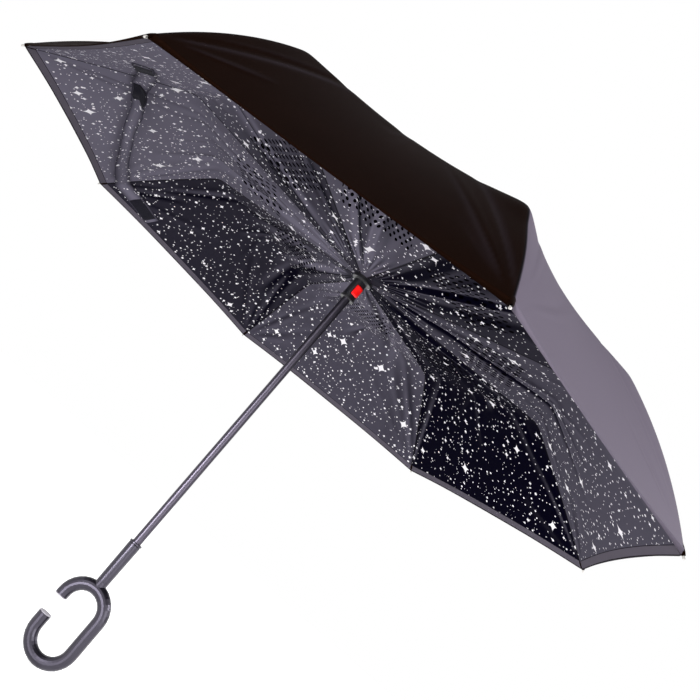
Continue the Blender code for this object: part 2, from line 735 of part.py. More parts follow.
def shell(grid_low, grid_high):
    """A closed sheet between two grids of points with the same layout."""
    rows = len(grid_low)
    columns = len(grid_low[0])
    points = [point for row in grid_low for point in row]
    points += [point for row in grid_high for point in row]
    above = rows * columns
    faces = []
    for row in range(rows - 1):
        for column in range(columns - 1):
            corner = row * columns + column
            quad = (corner, corner + 1, corner + columns + 1, corner + columns)
            faces.append(quad)
            faces.append(tuple(above + point for point in quad))
    border = list(range(columns))
    border += [row * columns + columns - 1 for row in range(1, rows)]
    border += [(rows - 1) * columns + column for column in range(columns - 2, -1, -1)]
    border += [row * columns for row in range(rows - 2, 0, -1)]
    for place, point in enumerate(border):
        after = border[(place + 1) % len(border)]
        faces.append((point, after, above + after, above + point))
    return mesh_from("sheet", points, faces)


def layer_gap(share, across):
    """Room left between a layer and the rim plane: wide at the rods, closed between them."""
    spread = abs(2 * across - 1) ** 3
    return max(0.0, share - 1) * (FIT / 2 + (LAYER_GAP - FIT / 2) * spread)


def build_gore(name, kind, index, line, shares, side):
    """One gore: its true outline, its chord shape between ribs and its fold at the knee."""
    columns = 6
    low = []
    high = []
    for share in shares:
        low_row = []
        high_row = []
        for column in range(columns + 1):
            across = column / columns
            gap = layer_gap(share, across)
            base = gap if side > 0 else -gap - CLOTH
            low_row.append(gore_point(line, index, across, share, base))
            high_row.append(gore_point(line, index, across, share, base + CLOTH))
        low.append(low_row)
        high.append(high_row)
    add_object(f"{name}_{index + 1}", shell(low, high), kind)


def build_canopy():
    """Both layers of the canopy, gore by gore."""
    inner = (0, 0.1, 0.25, 0.45, 0.65, 0.85, 0.96, 1.0, 1.06, 1.25, 1.5, 1.75, 2.0)
    outer = (0, 0.08, 0.2, 0.4, 0.6, 0.8, 0.93, 1.0, 1.07, 1.25, 1.5, 1.75, 2.0)
    for index in range(RIBS):
        build_gore("outer_gore", "outer", index, outer_line, outer, 1)
        build_gore("inner_gore", "inner", index, inner_line, inner, -1)


def strap_point(turn_degrees, radius, drop):
    """A point a little under the inner layer, from its turn and the rib radius it passes."""
    turn = math.radians(turn_degrees)
    place = (turn - FIRST_RIB) / STEP
    index = math.floor(place)
    near, far = 1.0, 2.0
    for _ in range(40):
        share = (near + far) / 2
        if inner_line(share)[0] < radius:
            near = share
        else:
            far = share
    across = place - index
    return gore_point(inner_line, index, across, near, -CLOTH - layer_gap(near, across) - drop)


def ribbon(stations, width, drop, sheet):
    """A closed band that follows the inner layer through these stations."""
    low = []
    high = []
    panel = RIM_RADIUS - INNER_KNEE[0]
    for turn, share in stations:
        radius = INNER_KNEE[0] + panel * share
        offsets = (-width / 2, 0.0, width / 2)
        low.append([strap_point(turn, radius + offset, drop + sheet) for offset in offsets])
        high.append([strap_point(turn, radius + offset, drop) for offset in offsets])
    return shell(low, high)


def between(first, second, share):
    """The station part of the way from one station to the next."""
    return tuple(a + (b - a) * share for a, b in zip(first, second))


def build_strap():
    """Closure strap that lies along the inner layer, with a fastening pad near each end."""
    add_object("closure_strap", ribbon(STRAP_LINE, STRAP_WIDTH, STRAP_DROP, STRAP_SHEET), "inner")
    drop = STRAP_DROP + STRAP_SHEET + SEAT
    width = STRAP_WIDTH - 2 * PAD_INSET
    start, after = STRAP_LINE[0], STRAP_LINE[1]
    last, before = STRAP_LINE[-1], STRAP_LINE[-2]
    pads = (
        ("hook_pad", [between(start, after, share) for share in (0.10, 0.70)]),
        ("loop_pad", [between(last, before, share) for share in (0.08, 0.90)]),
    )
    for name, stations in pads:
        add_object(name, ribbon(stations, width, drop, PAD_SHEET), "black")


def build():
    """Builds the umbrella, open, as in the photograph."""
    clear_scene()
    build_grip()
    build_sleeve()
    build_shaft()
    build_runner()
    build_button()
    build_crown()
    build_frame()
    build_canopy()
    build_strap()


build()
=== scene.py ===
"""Inverted umbrella: cloth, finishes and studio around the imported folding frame."""

from __future__ import annotations

import itertools
import logging
import math
from dataclasses import dataclass, field
from enum import Enum

import bpy
import numpy as np
from bpy.types import Material, Node, NodeSocket, NodeTree, Object
from mathutils import Matrix, Vector


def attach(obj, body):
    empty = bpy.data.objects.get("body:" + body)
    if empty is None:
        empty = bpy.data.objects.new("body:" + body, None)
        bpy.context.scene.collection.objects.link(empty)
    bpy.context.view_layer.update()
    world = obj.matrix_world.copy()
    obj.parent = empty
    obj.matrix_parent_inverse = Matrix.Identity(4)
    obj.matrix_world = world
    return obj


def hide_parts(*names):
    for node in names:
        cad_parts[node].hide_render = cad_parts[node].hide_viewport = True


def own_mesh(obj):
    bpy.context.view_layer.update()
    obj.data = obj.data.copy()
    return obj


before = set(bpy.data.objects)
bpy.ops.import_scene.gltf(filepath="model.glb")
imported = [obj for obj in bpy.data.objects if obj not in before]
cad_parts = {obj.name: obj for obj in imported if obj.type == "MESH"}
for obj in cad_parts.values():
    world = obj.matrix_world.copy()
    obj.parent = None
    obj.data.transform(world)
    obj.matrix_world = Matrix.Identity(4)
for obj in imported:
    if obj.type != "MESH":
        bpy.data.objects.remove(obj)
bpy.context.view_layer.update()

RIBS = 8
STEP = 2 * math.pi / RIBS
HALF = STEP / 2
MM = 0.001
RIM_RADIUS = 0.530
RIM_HEIGHT = 0.510

Pair = tuple[float, float]

log = logging.getLogger("umbrella")


def linear(code: str) -> tuple[float, float, float, float]:
    """Turns an sRGB hex colour into a linear one.

    Args:
        code: six hex digits after a leading #.

    Returns:
        Red, green, blue and alpha, linear, from 0 to 1.
    """
    parts = [int(code[place : place + 2], 16) / 255 for place in (1, 3, 5)]
    red, green, blue = [
        part / 12.92 if part <= 0.04045 else ((part + 0.055) / 1.055) ** 2.4 for part in parts
    ]
    return red, green, blue, 1.0


def fill(node: Node, inputs: dict) -> None:
    """Gives a node's inputs their values and links.

    Args:
        node: the node.
        inputs: a value, a socket, or a node for its first output, for each named or numbered input.
    """
    for name, value in inputs.items():
        if isinstance(value, Node):
            value = next(socket for socket in value.outputs if socket.enabled)
        if isinstance(value, NodeSocket):
            node.id_data.links.new(value, node.inputs[name])
        else:
            node.inputs[name].default_value = value


def add(tree: NodeTree, kind: str, inputs: dict | None = None, **settings) -> Node:
    """Adds a node to a tree, with its settings, values and links.

    Args:
        tree: the node tree of a material or world.
        kind: the node's type after ShaderNode, such as Math.
        inputs: what its inputs get, as fill takes it.
        settings: the node's own properties.

    Returns:
        The new node.
    """
    node = tree.nodes.new("ShaderNode" + kind)
    for name, value in settings.items():
        setattr(node, name, value)
    fill(node, inputs or {})
    return node


def placed(name: str, data: bpy.types.ID) -> Object:
    """Makes an object from its data and puts it in the scene.

    Args:
        name: the object's name.
        data: its mesh, lamp or camera.

    Returns:
        The object.
    """
    obj = bpy.data.objects.new(name, data)
    bpy.context.scene.collection.objects.link(obj)
    return obj


@dataclass(frozen=True)
class Finish:
    """A surface of one colour, which each kind of finish starts from."""

    name: str
    colour: str
    roughness: float
    metallic: float = 0.0
    ior: float = 1.5

    def material(self) -> Material:
        """Makes the material once and returns it each time.

        Returns:
            The material with its node tree.
        """
        known = bpy.data.materials.get(self.name)
        if known:
            return known
        made = bpy.data.materials.new(self.name)
        made.use_nodes = True
        inputs = {
            "Base Color": linear(self.colour), "Roughness": self.roughness, "Metallic": self.metallic,
        }
        if self.metallic < 0.5:
            inputs["IOR"] = self.ior
        fill(made.node_tree.nodes["Principled BSDF"], inputs | self.wire(made.node_tree))
        return made

    def wire(self, tree: NodeTree) -> dict:
        """Gives what sets this finish apart; a plain finish has nothing."""
        return {}

    def dress(self, obj: Object) -> None:
        """Gives an object this finish in place of what it has."""
        obj.data.materials.clear()
        obj.data.materials.append(self.material())


@dataclass(frozen=True)
class MouldedPlastic(Finish):
    """ABS from a spark-eroded mould: an even satin skin with a fine grain and faint clouding."""

    worn: str = "#5a5563"
    lacquer: float = 0.0
    lacquer_roughness: float = 0.17
    grain_mm: float = 0.7
    relief_mm: float = 0.0015
    clouds_per_m: float = 55.0

    def wire(self, tree: NodeTree) -> dict:
        """Adds the mould's grain and slight changes of tone and gloss.

        Args:
            tree: the material's node tree.

        Returns:
            What the shader's inputs get.
        """
        place = add(tree, "TexCoord").outputs["Object"]
        cloud = add(tree, "TexNoise", {"Vector": place, "Scale": self.clouds_per_m, "Detail": 3.0})
        grain = add(tree, "TexNoise", {"Vector": place, "Scale": 1 / (self.grain_mm * MM), "Detail": 2.0})
        share = add(
            tree, "MapRange", {"Value": cloud, "From Min": 0.45, "From Max": 0.85, "To Max": 0.35}
        )
        tones = {"Factor": share, "A": linear(self.colour), "B": linear(self.worn)}
        gloss = {"Value": cloud, "To Min": self.roughness - 0.03, "To Max": self.roughness + 0.04}
        relief = {"Height": grain, "Distance": self.relief_mm * MM, "Strength": 0.6}
        return {
            "Coat Weight": self.lacquer,
            "Coat Roughness": self.lacquer_roughness,
            "Base Color": add(tree, "Mix", tones, data_type="RGBA"),
            "Roughness": add(tree, "MapRange", gloss),
            "Normal": add(tree, "Bump", relief),
        }


@dataclass(frozen=True)
class DrawnTube(Finish):
    """Lacquered drawn steel tube: a dark metallic coat whose gloss streaks along the tube."""

    dark: str = "#2b292e"
    streak_mm: float = 3.0
    streaks_per_m: float = 9.0

    def wire(self, tree: NodeTree) -> dict:
        """Adds streaks that run along the tube, about as wide as drawing marks under a coat.

        Args:
            tree: the material's node tree.

        Returns:
            What the shader's inputs get.
        """
        place = add(tree, "TexCoord").outputs["Object"]
        around = 1 / (self.streak_mm * MM)
        long = add(tree, "Mapping", {"Vector": place, "Scale": (around, around, self.streaks_per_m)})
        streaks = add(tree, "TexNoise", {"Vector": long, "Scale": 1.0, "Detail": 3.0})
        tones = {"Factor": streaks, "A": linear(self.dark), "B": linear(self.colour)}
        gloss = {"Value": streaks, "To Min": self.roughness - 0.02, "To Max": self.roughness + 0.03}
        return {
            "Base Color": add(tree, "Mix", tones, data_type="RGBA"),
            "Roughness": add(tree, "MapRange", gloss),
        }


@dataclass(frozen=True)
class PaintedStrip(Finish):
    """Black stoved enamel on folded steel: low gloss with a fine orange peel."""

    rubbed: str = "#3c3a40"
    rubs_per_m: float = 40.0
    peel_mm: float = 1.1
    relief_mm: float = 0.03

    def wire(self, tree: NodeTree) -> dict:
        """Adds the enamel's orange peel and slightly rubbed tone.

        Args:
            tree: the material's node tree.

        Returns:
            What the shader's inputs get.
        """
        place = add(tree, "TexCoord").outputs["Object"]
        peel = add(tree, "TexNoise", {"Vector": place, "Scale": 1 / (self.peel_mm * MM), "Detail": 2.0})
        rubs = add(tree, "TexNoise", {"Vector": place, "Scale": self.rubs_per_m, "Detail": 4.0})
        share = add(tree, "MapRange", {"Value": rubs, "From Min": 0.5, "From Max": 0.8, "To Max": 0.4})
        tones = {"Factor": share, "A": linear(self.colour), "B": linear(self.rubbed)}
        relief = {"Height": peel, "Distance": self.relief_mm * MM, "Strength": 0.5}
        return {
            "Base Color": add(tree, "Mix", tones, data_type="RGBA"),
            "Normal": add(tree, "Bump", relief),
        }


@dataclass(frozen=True)
class CappedRod(Finish):
    """Pultruded glass-fibre rod, near black with fibres along it, and a nickel-plated end cap."""

    fibre: str = "#2a2a2f"
    fibre_mm: float = 0.5
    plate: str = "#b9b6b3"
    plate_roughness: float = 0.22
    cap_from: float = 0.5206

    def wire(self, tree: NodeTree) -> dict:
        """Adds the fibres' streaks, and turns the end beyond a radius into plated brass.

        Args:
            tree: the material's node tree.

        Returns:
            What the shader's inputs get.
        """
        place = add(tree, "TexCoord").outputs["Object"]
        parts = add(tree, "SeparateXYZ", {0: place})
        flat = add(tree, "CombineXYZ", {0: parts.outputs[0], 1: parts.outputs[1]})
        radius = add(tree, "VectorMath", {0: flat}, operation="LENGTH")
        cap = add(tree, "Math", {0: radius, 1: self.cap_from}, operation="GREATER_THAN")
        fibres = add(
            tree, "TexNoise",
            {"Vector": place, "Scale": 1 / (self.fibre_mm * MM), "Detail": 2.0, "Distortion": 0.4},
        )
        tones = {"Factor": fibres, "A": linear(self.colour), "B": linear(self.fibre)}
        bare = add(tree, "Mix", tones, data_type="RGBA")
        capped = {"Factor": cap, "A": bare, "B": linear(self.plate)}
        gloss = {"Value": cap, "To Min": self.roughness, "To Max": self.plate_roughness}
        return {
            "Base Color": add(tree, "Mix", capped, data_type="RGBA"),
            "Metallic": cap,
            "Roughness": add(tree, "MapRange", gloss),
        }


@dataclass(frozen=True)
class WovenCloth(Finish):
    """Pongee, a close plain weave of fine polyester: soft sheen at a glance, matt face on."""

    sheen: float = 0.35
    sheen_tint: str = "#b9b1bd"
    sheen_roughness: float = 0.45
    shade: str = "#120d0d"
    # Painted light: the colour that each gore and crease side is mixed toward where it is painted lit.
    painted_lit: str = "#2a2424"
    stitch: str = "#060507"
    gloss: float = 0.18
    slubs_per_m: float = 18.0
    # Real threads lie about 0.12 mm apart, too fine to show, so they are drawn 0.9 mm apart.
    thread_mm: float = 0.9
    relief_mm: float = 0.05

    def wire(self, tree: NodeTree) -> dict:
        """Adds the weave, the slubs' change of tone, the painted light and shade of each gore and crease,
        and the sewn seams.

        Args:
            tree: the material's node tree.

        Returns:
            What the shader's inputs get.
        """
        place = add(tree, "UVMap", uv_map="cloth")
        threads = {"Vector": place, "Scale": 1 / (self.thread_mm * MM) / 2, "Distortion": 0.3}
        sets = {
            number: add(
                tree, "TexWave", threads, bands_direction=direction, wave_profile="SIN"
            ).outputs["Fac"]
            for number, direction in enumerate("XY")
        }
        weave = add(tree, "Math", sets, operation="MAXIMUM")
        relief = {"Height": weave, "Distance": self.relief_mm * MM, "Strength": 0.5}
        return {
            "Specular IOR Level": self.gloss,
            "Sheen Weight": self.sheen,
            "Sheen Roughness": self.sheen_roughness,
            "Sheen Tint": linear(self.sheen_tint),
            "Normal": add(tree, "Bump", relief),
        } | self.ground(tree, place)

    def ground(self, tree: NodeTree, place: Node) -> dict:
        """Makes the dyed colour, a little uneven, mixed toward the painted lit colour by each gore's and
        crease's painted light, and darker along the seams.

        Args:
            tree: the material's node tree.
            place: the place on the flat cloth, in metres.

        Returns:
            What the shader's inputs get.
        """
        slubs = add(tree, "TexNoise", {"Vector": place, "Scale": self.slubs_per_m, "Detail": 4.0})
        dyes = {"Factor": slubs, "A": linear(self.shade), "B": linear(self.colour)}
        uneven = add(tree, "Mix", dyes, data_type="RGBA")
        # Painted light and shade: the share of the painted lit colour that each face gets.
        painted_light_share = add(tree, "SeparateXYZ", {0: add(tree, "UVMap", uv_map="lustre")})
        tones = {"Factor": painted_light_share, "A": uneven, "B": linear(self.painted_lit)}
        tone = add(tree, "Mix", tones, data_type="RGBA")
        seam = add(tree, "SeparateXYZ", {0: add(tree, "UVMap", uv_map="edges")})
        along = add(
            tree, "MapRange",
            {"Value": seam, "From Min": 0.7 * MM, "From Max": 2.2 * MM, "To Min": 0.85, "To Max": 0.0},
        )
        sewn = {"Factor": along, "A": tone, "B": linear(self.stitch)}
        return {"Base Color": add(tree, "Mix", sewn, data_type="RGBA")}


@dataclass(frozen=True)
class Marks:
    """One set of printed marks, at most one in each cell of an uneven grid."""

    cell_mm: float
    sizes_mm: Pair
    share: float
    shift: float
    sparkle: bool = False
    scatter: float = 1.0


@dataclass(frozen=True)
class StarPrint(WovenCloth):
    """Pongee printed with a random field of dots and four-point sparkles, with punched vents."""

    ink: str = "#f6f3f8"
    band: str = "#57525c"
    band_line: str = "#15131a"
    edge: str = "#0a090b"
    # Painted shade: the dark seen through each vent.
    hole: str = "#020103"
    hem_mm: float = 11.0
    edge_mm: float = 0.9
    vent_mm: Pair = (2.0, 4.4)
    vent_pitch_mm: Pair = (9.0, 12.5)
    vents_wide_mm: float = 54
    vents_from_mm: float = 150
    vents_to_mm: float = 237.5
    prints: tuple[Marks, ...] = (
        Marks(8.5, (0.5, 1.05), 0.30, 0.0),
        Marks(12.0, (0.9, 1.8), 0.58, 3.1),
        Marks(30.0, (1.6, 2.6), 0.45, 7.7),
        Marks(31.0, (3.4, 5.6), 0.45, 11.3, True, 0.72),
        Marks(84.0, (8.5, 12.0), 0.62, 17.9, True, 0.72),
    )

    def ground(self, tree: NodeTree, place: Node) -> dict:
        """Prints the stars on the dyed cloth, then adds the vents in painted shade without gloss or sheen,
        and the hem band.

        Args:
            tree: the material's node tree.
            place: the place on the flat cloth, in metres.

        Returns:
            What the shader's inputs get.
        """
        cloth = super().ground(tree, place)["Base Color"]
        whole = self.printed(tree, place, self.prints[0])
        for marks in self.prints[1:]:
            other = self.printed(tree, place, marks)
            whole = add(tree, "Math", {0: whole, 1: other}, operation="MAXIMUM")
        inked = {"Factor": whole, "A": cloth, "B": linear(self.ink)}
        vents = self.vents(tree)
        punched = {
            "Factor": vents, "A": add(tree, "Mix", inked, data_type="RGBA"), "B": linear(self.hole),
        }
        dulled = {
            name: add(tree, "MapRange", {"Value": vents, "To Min": level, "To Max": 0.0})
            for name, level in (("Specular IOR Level", self.gloss), ("Sheen Weight", self.sheen))
        }
        return dulled | {"Base Color": self.hem(tree, add(tree, "Mix", punched, data_type="RGBA"))}

    def printed(self, tree: NodeTree, place: Node, marks: Marks) -> Node:
        """Lays out one set of marks and keeps a share of them.

        Args:
            tree: the material's node tree.
            place: the place on the flat cloth, in metres.
            marks: the set of marks.

        Returns:
            The node that is 1 on the ink.
        """
        moved = add(tree, "VectorMath", {0: place, 1: (marks.shift, marks.shift * 0.37, 0.0)})
        cells = add(
            tree, "TexVoronoi",
            {"Vector": moved, "Scale": 1 / (marks.cell_mm * MM), "Randomness": marks.scatter},
            voronoi_dimensions="2D",
        )
        chance = add(tree, "SeparateXYZ", {0: cells.outputs["Color"]})
        if marks.sparkle:
            shape = self.sparkle(tree, marks, moved, cells, chance)
        else:
            shape = self.dot(tree, marks, cells, chance)
        held = add(tree, "Math", {0: chance.outputs[1], 1: marks.share}, operation="LESS_THAN")
        return add(tree, "Math", {0: shape, 1: held}, operation="MULTIPLY")

    @staticmethod
    def dot(
        tree: NodeTree, marks: Marks, cells: Node, chance: Node
    ) -> Node:
        """Makes a round dot in each cell, most of them small.

        Args:
            tree: the material's node tree.
            marks: the set, whose sizes are the smallest and largest radius.
            cells: the cells, whose first output is the distance from a cell's point.
            chance: three random numbers for each cell.

        Returns:
            The node that is 1 inside a dot.
        """
        small, large = (size / marks.cell_mm for size in marks.sizes_mm)
        soft = 0.1 / marks.cell_mm
        size = add(tree, "Math", {0: chance, 1: 2.6}, operation="POWER")
        radius = add(tree, "MapRange", {"Value": size, "To Min": small, "To Max": large})
        inside = add(tree, "Math", {0: radius, 1: cells}, operation="SUBTRACT")
        return add(tree, "MapRange", {"Value": inside, "From Min": -soft, "From Max": soft})

    @staticmethod
    def sparkle(
        tree: NodeTree, marks: Marks, moved: Node, cells: Node,
        chance: Node,
    ) -> Node:
        """Makes a sparkle with four curved-in points in each cell.

        Args:
            tree: the material's node tree.
            marks: the set, whose sizes are the shortest and longest reach of a point.
            moved: the place that the cells are laid out from.
            cells: the cells.
            chance: three random numbers for each cell.

        Returns:
            The node that is 1 inside a sparkle.
        """
        small, large = (size * MM for size in marks.sizes_mm)
        offset = add(tree, "VectorMath", {0: moved, 1: cells.outputs["Position"]}, operation="SUBTRACT")
        size = add(tree, "MapRange", {"Value": chance, "To Min": small, "To Max": large})
        parts = add(tree, "SeparateXYZ", {0: add(tree, "VectorMath", {0: offset}, operation="ABSOLUTE")})
        arms = {}
        for axis, stretch in enumerate((1.18, 1.0)):
            reach = add(tree, "Math", {0: parts.outputs[axis], 1: stretch}, operation="MULTIPLY")
            ratio = add(tree, "Math", {0: reach, 1: size}, operation="DIVIDE")
            arms[axis] = add(tree, "Math", {0: ratio, 1: 0.60}, operation="POWER")
        total = add(tree, "Math", arms)
        return add(
            tree, "MapRange",
            {"Value": total, "From Min": 0.97, "From Max": 1.03, "To Min": 1.0, "To Max": 0.0},
        )

    def vents(self, tree: NodeTree) -> Node:
        """Makes the rows of small oval vents that let wind out between the layers.

        Args:
            tree: the material's node tree.

        Returns:
            The node that is 1 inside a vent.
        """
        parts = add(tree, "SeparateXYZ", {0: add(tree, "UVMap", uv_map="gore")})
        across, along = parts.outputs[:2]
        wide, long = (pitch * MM for pitch in self.vent_pitch_mm)
        row = add(tree, "Math", {0: along, 1: long}, operation="DIVIDE")
        count = add(tree, "Math", {0: row}, operation="FLOOR")
        odd = add(tree, "Math", {0: count, 1: 2.0}, operation="MODULO")
        half = add(tree, "Math", {0: odd, 1: 0.5}, operation="MULTIPLY")
        column = add(tree, "Math", {0: across, 1: wide}, operation="DIVIDE")
        staggered = add(tree, "Math", {0: column, 1: half})
        squares = {}
        for axis, value in enumerate((staggered, row)):
            fit = self.vent_pitch_mm[axis] / self.vent_mm[axis]
            part = add(tree, "Math", {0: value}, operation="FRACT")
            middle = add(tree, "Math", {0: part, 1: 0.5}, operation="SUBTRACT")
            scaled = add(tree, "Math", {0: middle, 1: fit}, operation="MULTIPLY")
            squares[axis] = add(tree, "Math", {0: scaled, 1: 2.0}, operation="POWER")
        total = add(tree, "Math", squares)
        inside = add(tree, "Math", {0: total, 1: 1.0}, operation="LESS_THAN")
        for value, bound, kind in (
            (add(tree, "Math", {0: across}, operation="ABSOLUTE"), self.vents_wide_mm, "LESS_THAN"),
            (along, self.vents_from_mm, "GREATER_THAN"),
            (along, self.vents_to_mm, "LESS_THAN"),
        ):
            limit = add(tree, "Math", {0: value, 1: bound * MM}, operation=kind)
            inside = add(tree, "Math", {0: inside, 1: limit}, operation="MULTIPLY")
        return inside

    def hem(self, tree: NodeTree, colour: Node) -> Node:
        """Adds the plain band along the rim, its stitch line, its black edge and its rolled strip, which
        takes the outer cloth's colour with that gore's painted light.

        Args:
            tree: the material's node tree.
            colour: the colour of the printed cloth.

        Returns:
            The node that holds the colour with the hem.
        """
        depth = add(tree, "SeparateXYZ", {0: add(tree, "UVMap", uv_map="edges")}).outputs[1]
        painted_light_share = add(tree, "SeparateXYZ", {0: add(tree, "UVMap", uv_map="lustre")}).outputs[1]
        # The rolled strip shows the outer cloth, with its painted light and shade.
        outside = {"Factor": painted_light_share, "A": linear(OUTER_PONGEE.colour), "B": linear(OUTER_PONGEE.painted_lit)}
        for bound, shade in (
            (self.hem_mm + 1.0, linear(self.band_line)),
            (self.hem_mm, linear(self.band)),
            (self.edge_mm, linear(self.edge)),
            (-0.4, add(tree, "Mix", outside, data_type="RGBA")),
        ):
            within = add(tree, "Math", {0: depth, 1: bound * MM}, operation="LESS_THAN")
            colours = {"Factor": within, "A": colour, "B": shade}
            colour = add(tree, "Mix", colours, data_type="RGBA")
        return colour


@dataclass(frozen=True)
class HookTape(Finish):
    """Black nylon hook tape: matt, with a dense field of tiny loops."""

    hollow: str = "#1b1a24"
    hook_mm: float = 0.9
    relief_mm: float = 0.4
    gloss: float = 0.1

    def wire(self, tree: NodeTree) -> dict:
        """Adds the field of loops as relief and tone.

        Args:
            tree: the material's node tree.

        Returns:
            What the shader's inputs get.
        """
        place = add(tree, "TexCoord").outputs["Object"]
        loops = add(tree, "TexVoronoi", {"Vector": place, "Scale": 1 / (self.hook_mm * MM)})
        tones = {"Factor": loops, "A": linear(self.hollow), "B": linear(self.colour)}
        relief = {"Height": loops, "Distance": self.relief_mm * MM, "Strength": 0.8}
        return {
            "Specular IOR Level": self.gloss,
            "Base Color": add(tree, "Mix", tones, data_type="RGBA"),
            "Normal": add(tree, "Bump", relief),
        }


GRIP_ABS = MouldedPlastic(
    "abs_moulded_lacquered_grey", "#3b3842", 0.30, metallic=0.94, worn="#403d47", lacquer=0.3
)
CAP_ABS = MouldedPlastic("abs_moulded_light_grey", "#aba7b0", 0.45, worn="#bdbac2")
BLACK_ABS = MouldedPlastic("abs_moulded_black", "#131216", 0.36, worn="#232127")
RED_ABS = MouldedPlastic("abs_moulded_red", "#ff0808", 0.34, worn="#ff2a22")
SHAFT_STEEL = DrawnTube("steel_tube_lacquered", "#4c4852", 0.34, metallic=0.97, dark="#47434d")
PLATED_STEEL = Finish("steel_wire_zinc_plated", "#b4b2b6", 0.25, metallic=1.0)
RIB_STEEL = PaintedStrip("steel_strip_black_enamel", "#0e0e10", 0.38)
ROD_FIBRE = CappedRod("glass_fibre_rod_capped", "#16161a", 0.4)
# Each cloth's lit colour is painted light, not a dye.
OUTER_PONGEE = WovenCloth(
    "pongee_woven_black", "#100603", 0.62, sheen=0.010, shade="#0a0301", painted_lit="#635c69",
    sheen_tint="#a79fac", gloss=0.006,
)
INNER_PONGEE = StarPrint(
    "pongee_printed_stars", "#03020f", 0.58, sheen=0.001, shade="#01000c", painted_lit="#6b6776",
    sheen_tint="#9d97a6", gloss=0.006,
)
HOOK_TAPE = HookTape("nylon_hook_tape", "#07060e", 0.8)
# Painted light and shade of each gore: how far its colour goes toward the painted lit colour, near the hub
# and near the rim.
PAINTED_LIGHT_LEVELS = {
    "inner": (
        (0.03, 0.0), (0.80, 0.38), (0.18, 0.12), (0.62, 0.96),
        (0.22, 0.93), (0.64, 0.60), (0.12, 0.17), (0.34, 0.44),
    ),
    "outer": (
        (0.15, 0.15), (0.4, 0.45), (0.7, 0.75), (0.4, 0.45),
        (0.05, 0.0), (0.0, 0.0), (0.9, 1.0), (0.4, 0.45),
    ),
}


class Side(Enum):
    """Which of the two layers of the canopy."""

    INNER = "inner"
    OUTER = "outer"


class Part(Enum):
    """How much of a petal a piece covers: all of it, or the half on one side of the rib."""

    WHOLE = (-1, 1)
    NEAR = (-1, 0)
    FAR = (0, 1)

    def past_rib(self, columns: int) -> int:
        """Gives the number of the first column that lies past the rib."""
        return {Part.WHOLE: columns // 2, Part.NEAR: columns, Part.FAR: 0}[self]


class Origin(Enum):
    """Where a crease in the cloth starts."""

    HUB = "hub"
    NEAR_TIP = "near_tip"
    FAR_TIP = "far_tip"
    KNEE = "knee"


@dataclass(frozen=True)
class Crease:
    """One long soft crease in a gore, as a ridge along a slightly curved line."""

    origin: Origin
    turn: float
    start: float
    end: float
    width: float
    height: float
    bend: float
    knee_share: float = 0.58
    narrowest: float = 0.45
    bluntness: float = 0.8

    def rise(self, across: np.ndarray, along: np.ndarray, tip: Pair) -> np.ndarray:
        """Works out how far the crease lifts each point.

        Args:
            across: distance from the gore's middle line, in metres.
            along: distance from the hub along the gore, in metres.
            tip: the same two distances of the tip at the end of the gore.

        Returns:
            The lift of each point, in metres.
        """
        corner = {
            Origin.HUB: (0.0, 0.0), Origin.NEAR_TIP: (-tip[0], tip[1]),
            Origin.FAR_TIP: tip, Origin.KNEE: (0.0, tip[1] * self.knee_share),
        }[self.origin]
        side, ahead = across - corner[0], along - corner[1]
        if self.origin in (Origin.NEAR_TIP, Origin.FAR_TIP):
            ahead = -ahead
        reach = side * math.sin(self.turn) + ahead * math.cos(self.turn)
        off = side * math.cos(self.turn) - ahead * math.sin(self.turn) - self.bend * reach**2
        share = np.clip((reach - self.start) / (self.end - self.start), 0, 1)
        window = np.sin(math.pi * share) ** self.bluntness
        spread = self.width * (self.narrowest + (1 - self.narrowest) * share)
        return self.height * window * np.exp(-((off / spread) ** 2))


@dataclass(frozen=True)
class CreaseKind:
    """A number of creases alike, each size drawn between two bounds, or fixed where they are equal.

    way is -1 where the turn goes the other way, and signed is set where half of them dip instead.
    """

    origin: Origin
    count: int
    turn: Pair
    start: Pair
    end: Pair
    width: Pair
    height: Pair
    bend: Pair
    way: int = 1
    signed: bool = True

    def draw(self, chance: np.random.Generator, strong: float) -> list[Crease]:
        """Draws the creases of this kind for one gore.

        Args:
            chance: the source of random numbers.
            strong: what their heights are multiplied by.

        Returns:
            The creases.
        """

        def size(bounds: Pair) -> float:
            """Draws a size between two bounds."""
            return bounds[0] if bounds[0] == bounds[1] else chance.uniform(*bounds)

        made = []
        for _ in range(self.count):
            turn = self.way * size(self.turn)
            start, end, width = size(self.start), size(self.end), size(self.width)
            sign = chance.choice((-1, 1)) if self.signed else 1
            height = strong * sign * size(self.height)
            made.append(Crease(self.origin, turn, start, end, width, height, size(self.bend)))
        return made


def tip_creases(origin: Origin, way: int) -> tuple[CreaseKind, CreaseKind]:
    """Gives the loose creases at a tip and the fixed one, turned to the gore's side of the tip."""
    loose = CreaseKind(
        origin, 3, (0.42, 1.0), (0.012, 0.03), (0.10, 0.26), (0.006, 0.011), (0.0005, 0.0014),
        (-0.5, 0.5), way,
    )
    fixed = CreaseKind(
        origin, 1, (0.47, 0.47), (0.01, 0.01), (0.30, 0.30), (0.008, 0.008), (-0.0016, -0.0016),
        (way * 0.12, way * 0.12), way, signed=False,
    )
    return loose, fixed


KNEE_CREASES = CreaseKind(
    Origin.KNEE, 2, (-0.8, 0.8), (-0.03, -0.03), (0.05, 0.11), (0.005, 0.012), (-0.0014, 0.0014),
    (-1.0, 1.0), signed=False,
)
LONG_CREASES = CreaseKind(
    Origin.HUB, 2, (-0.26, 0.26), (0.02, 0.02), (0.30, 0.44), (0.008, 0.014), (0.003, 0.005),
    (-0.5, 0.5),
)


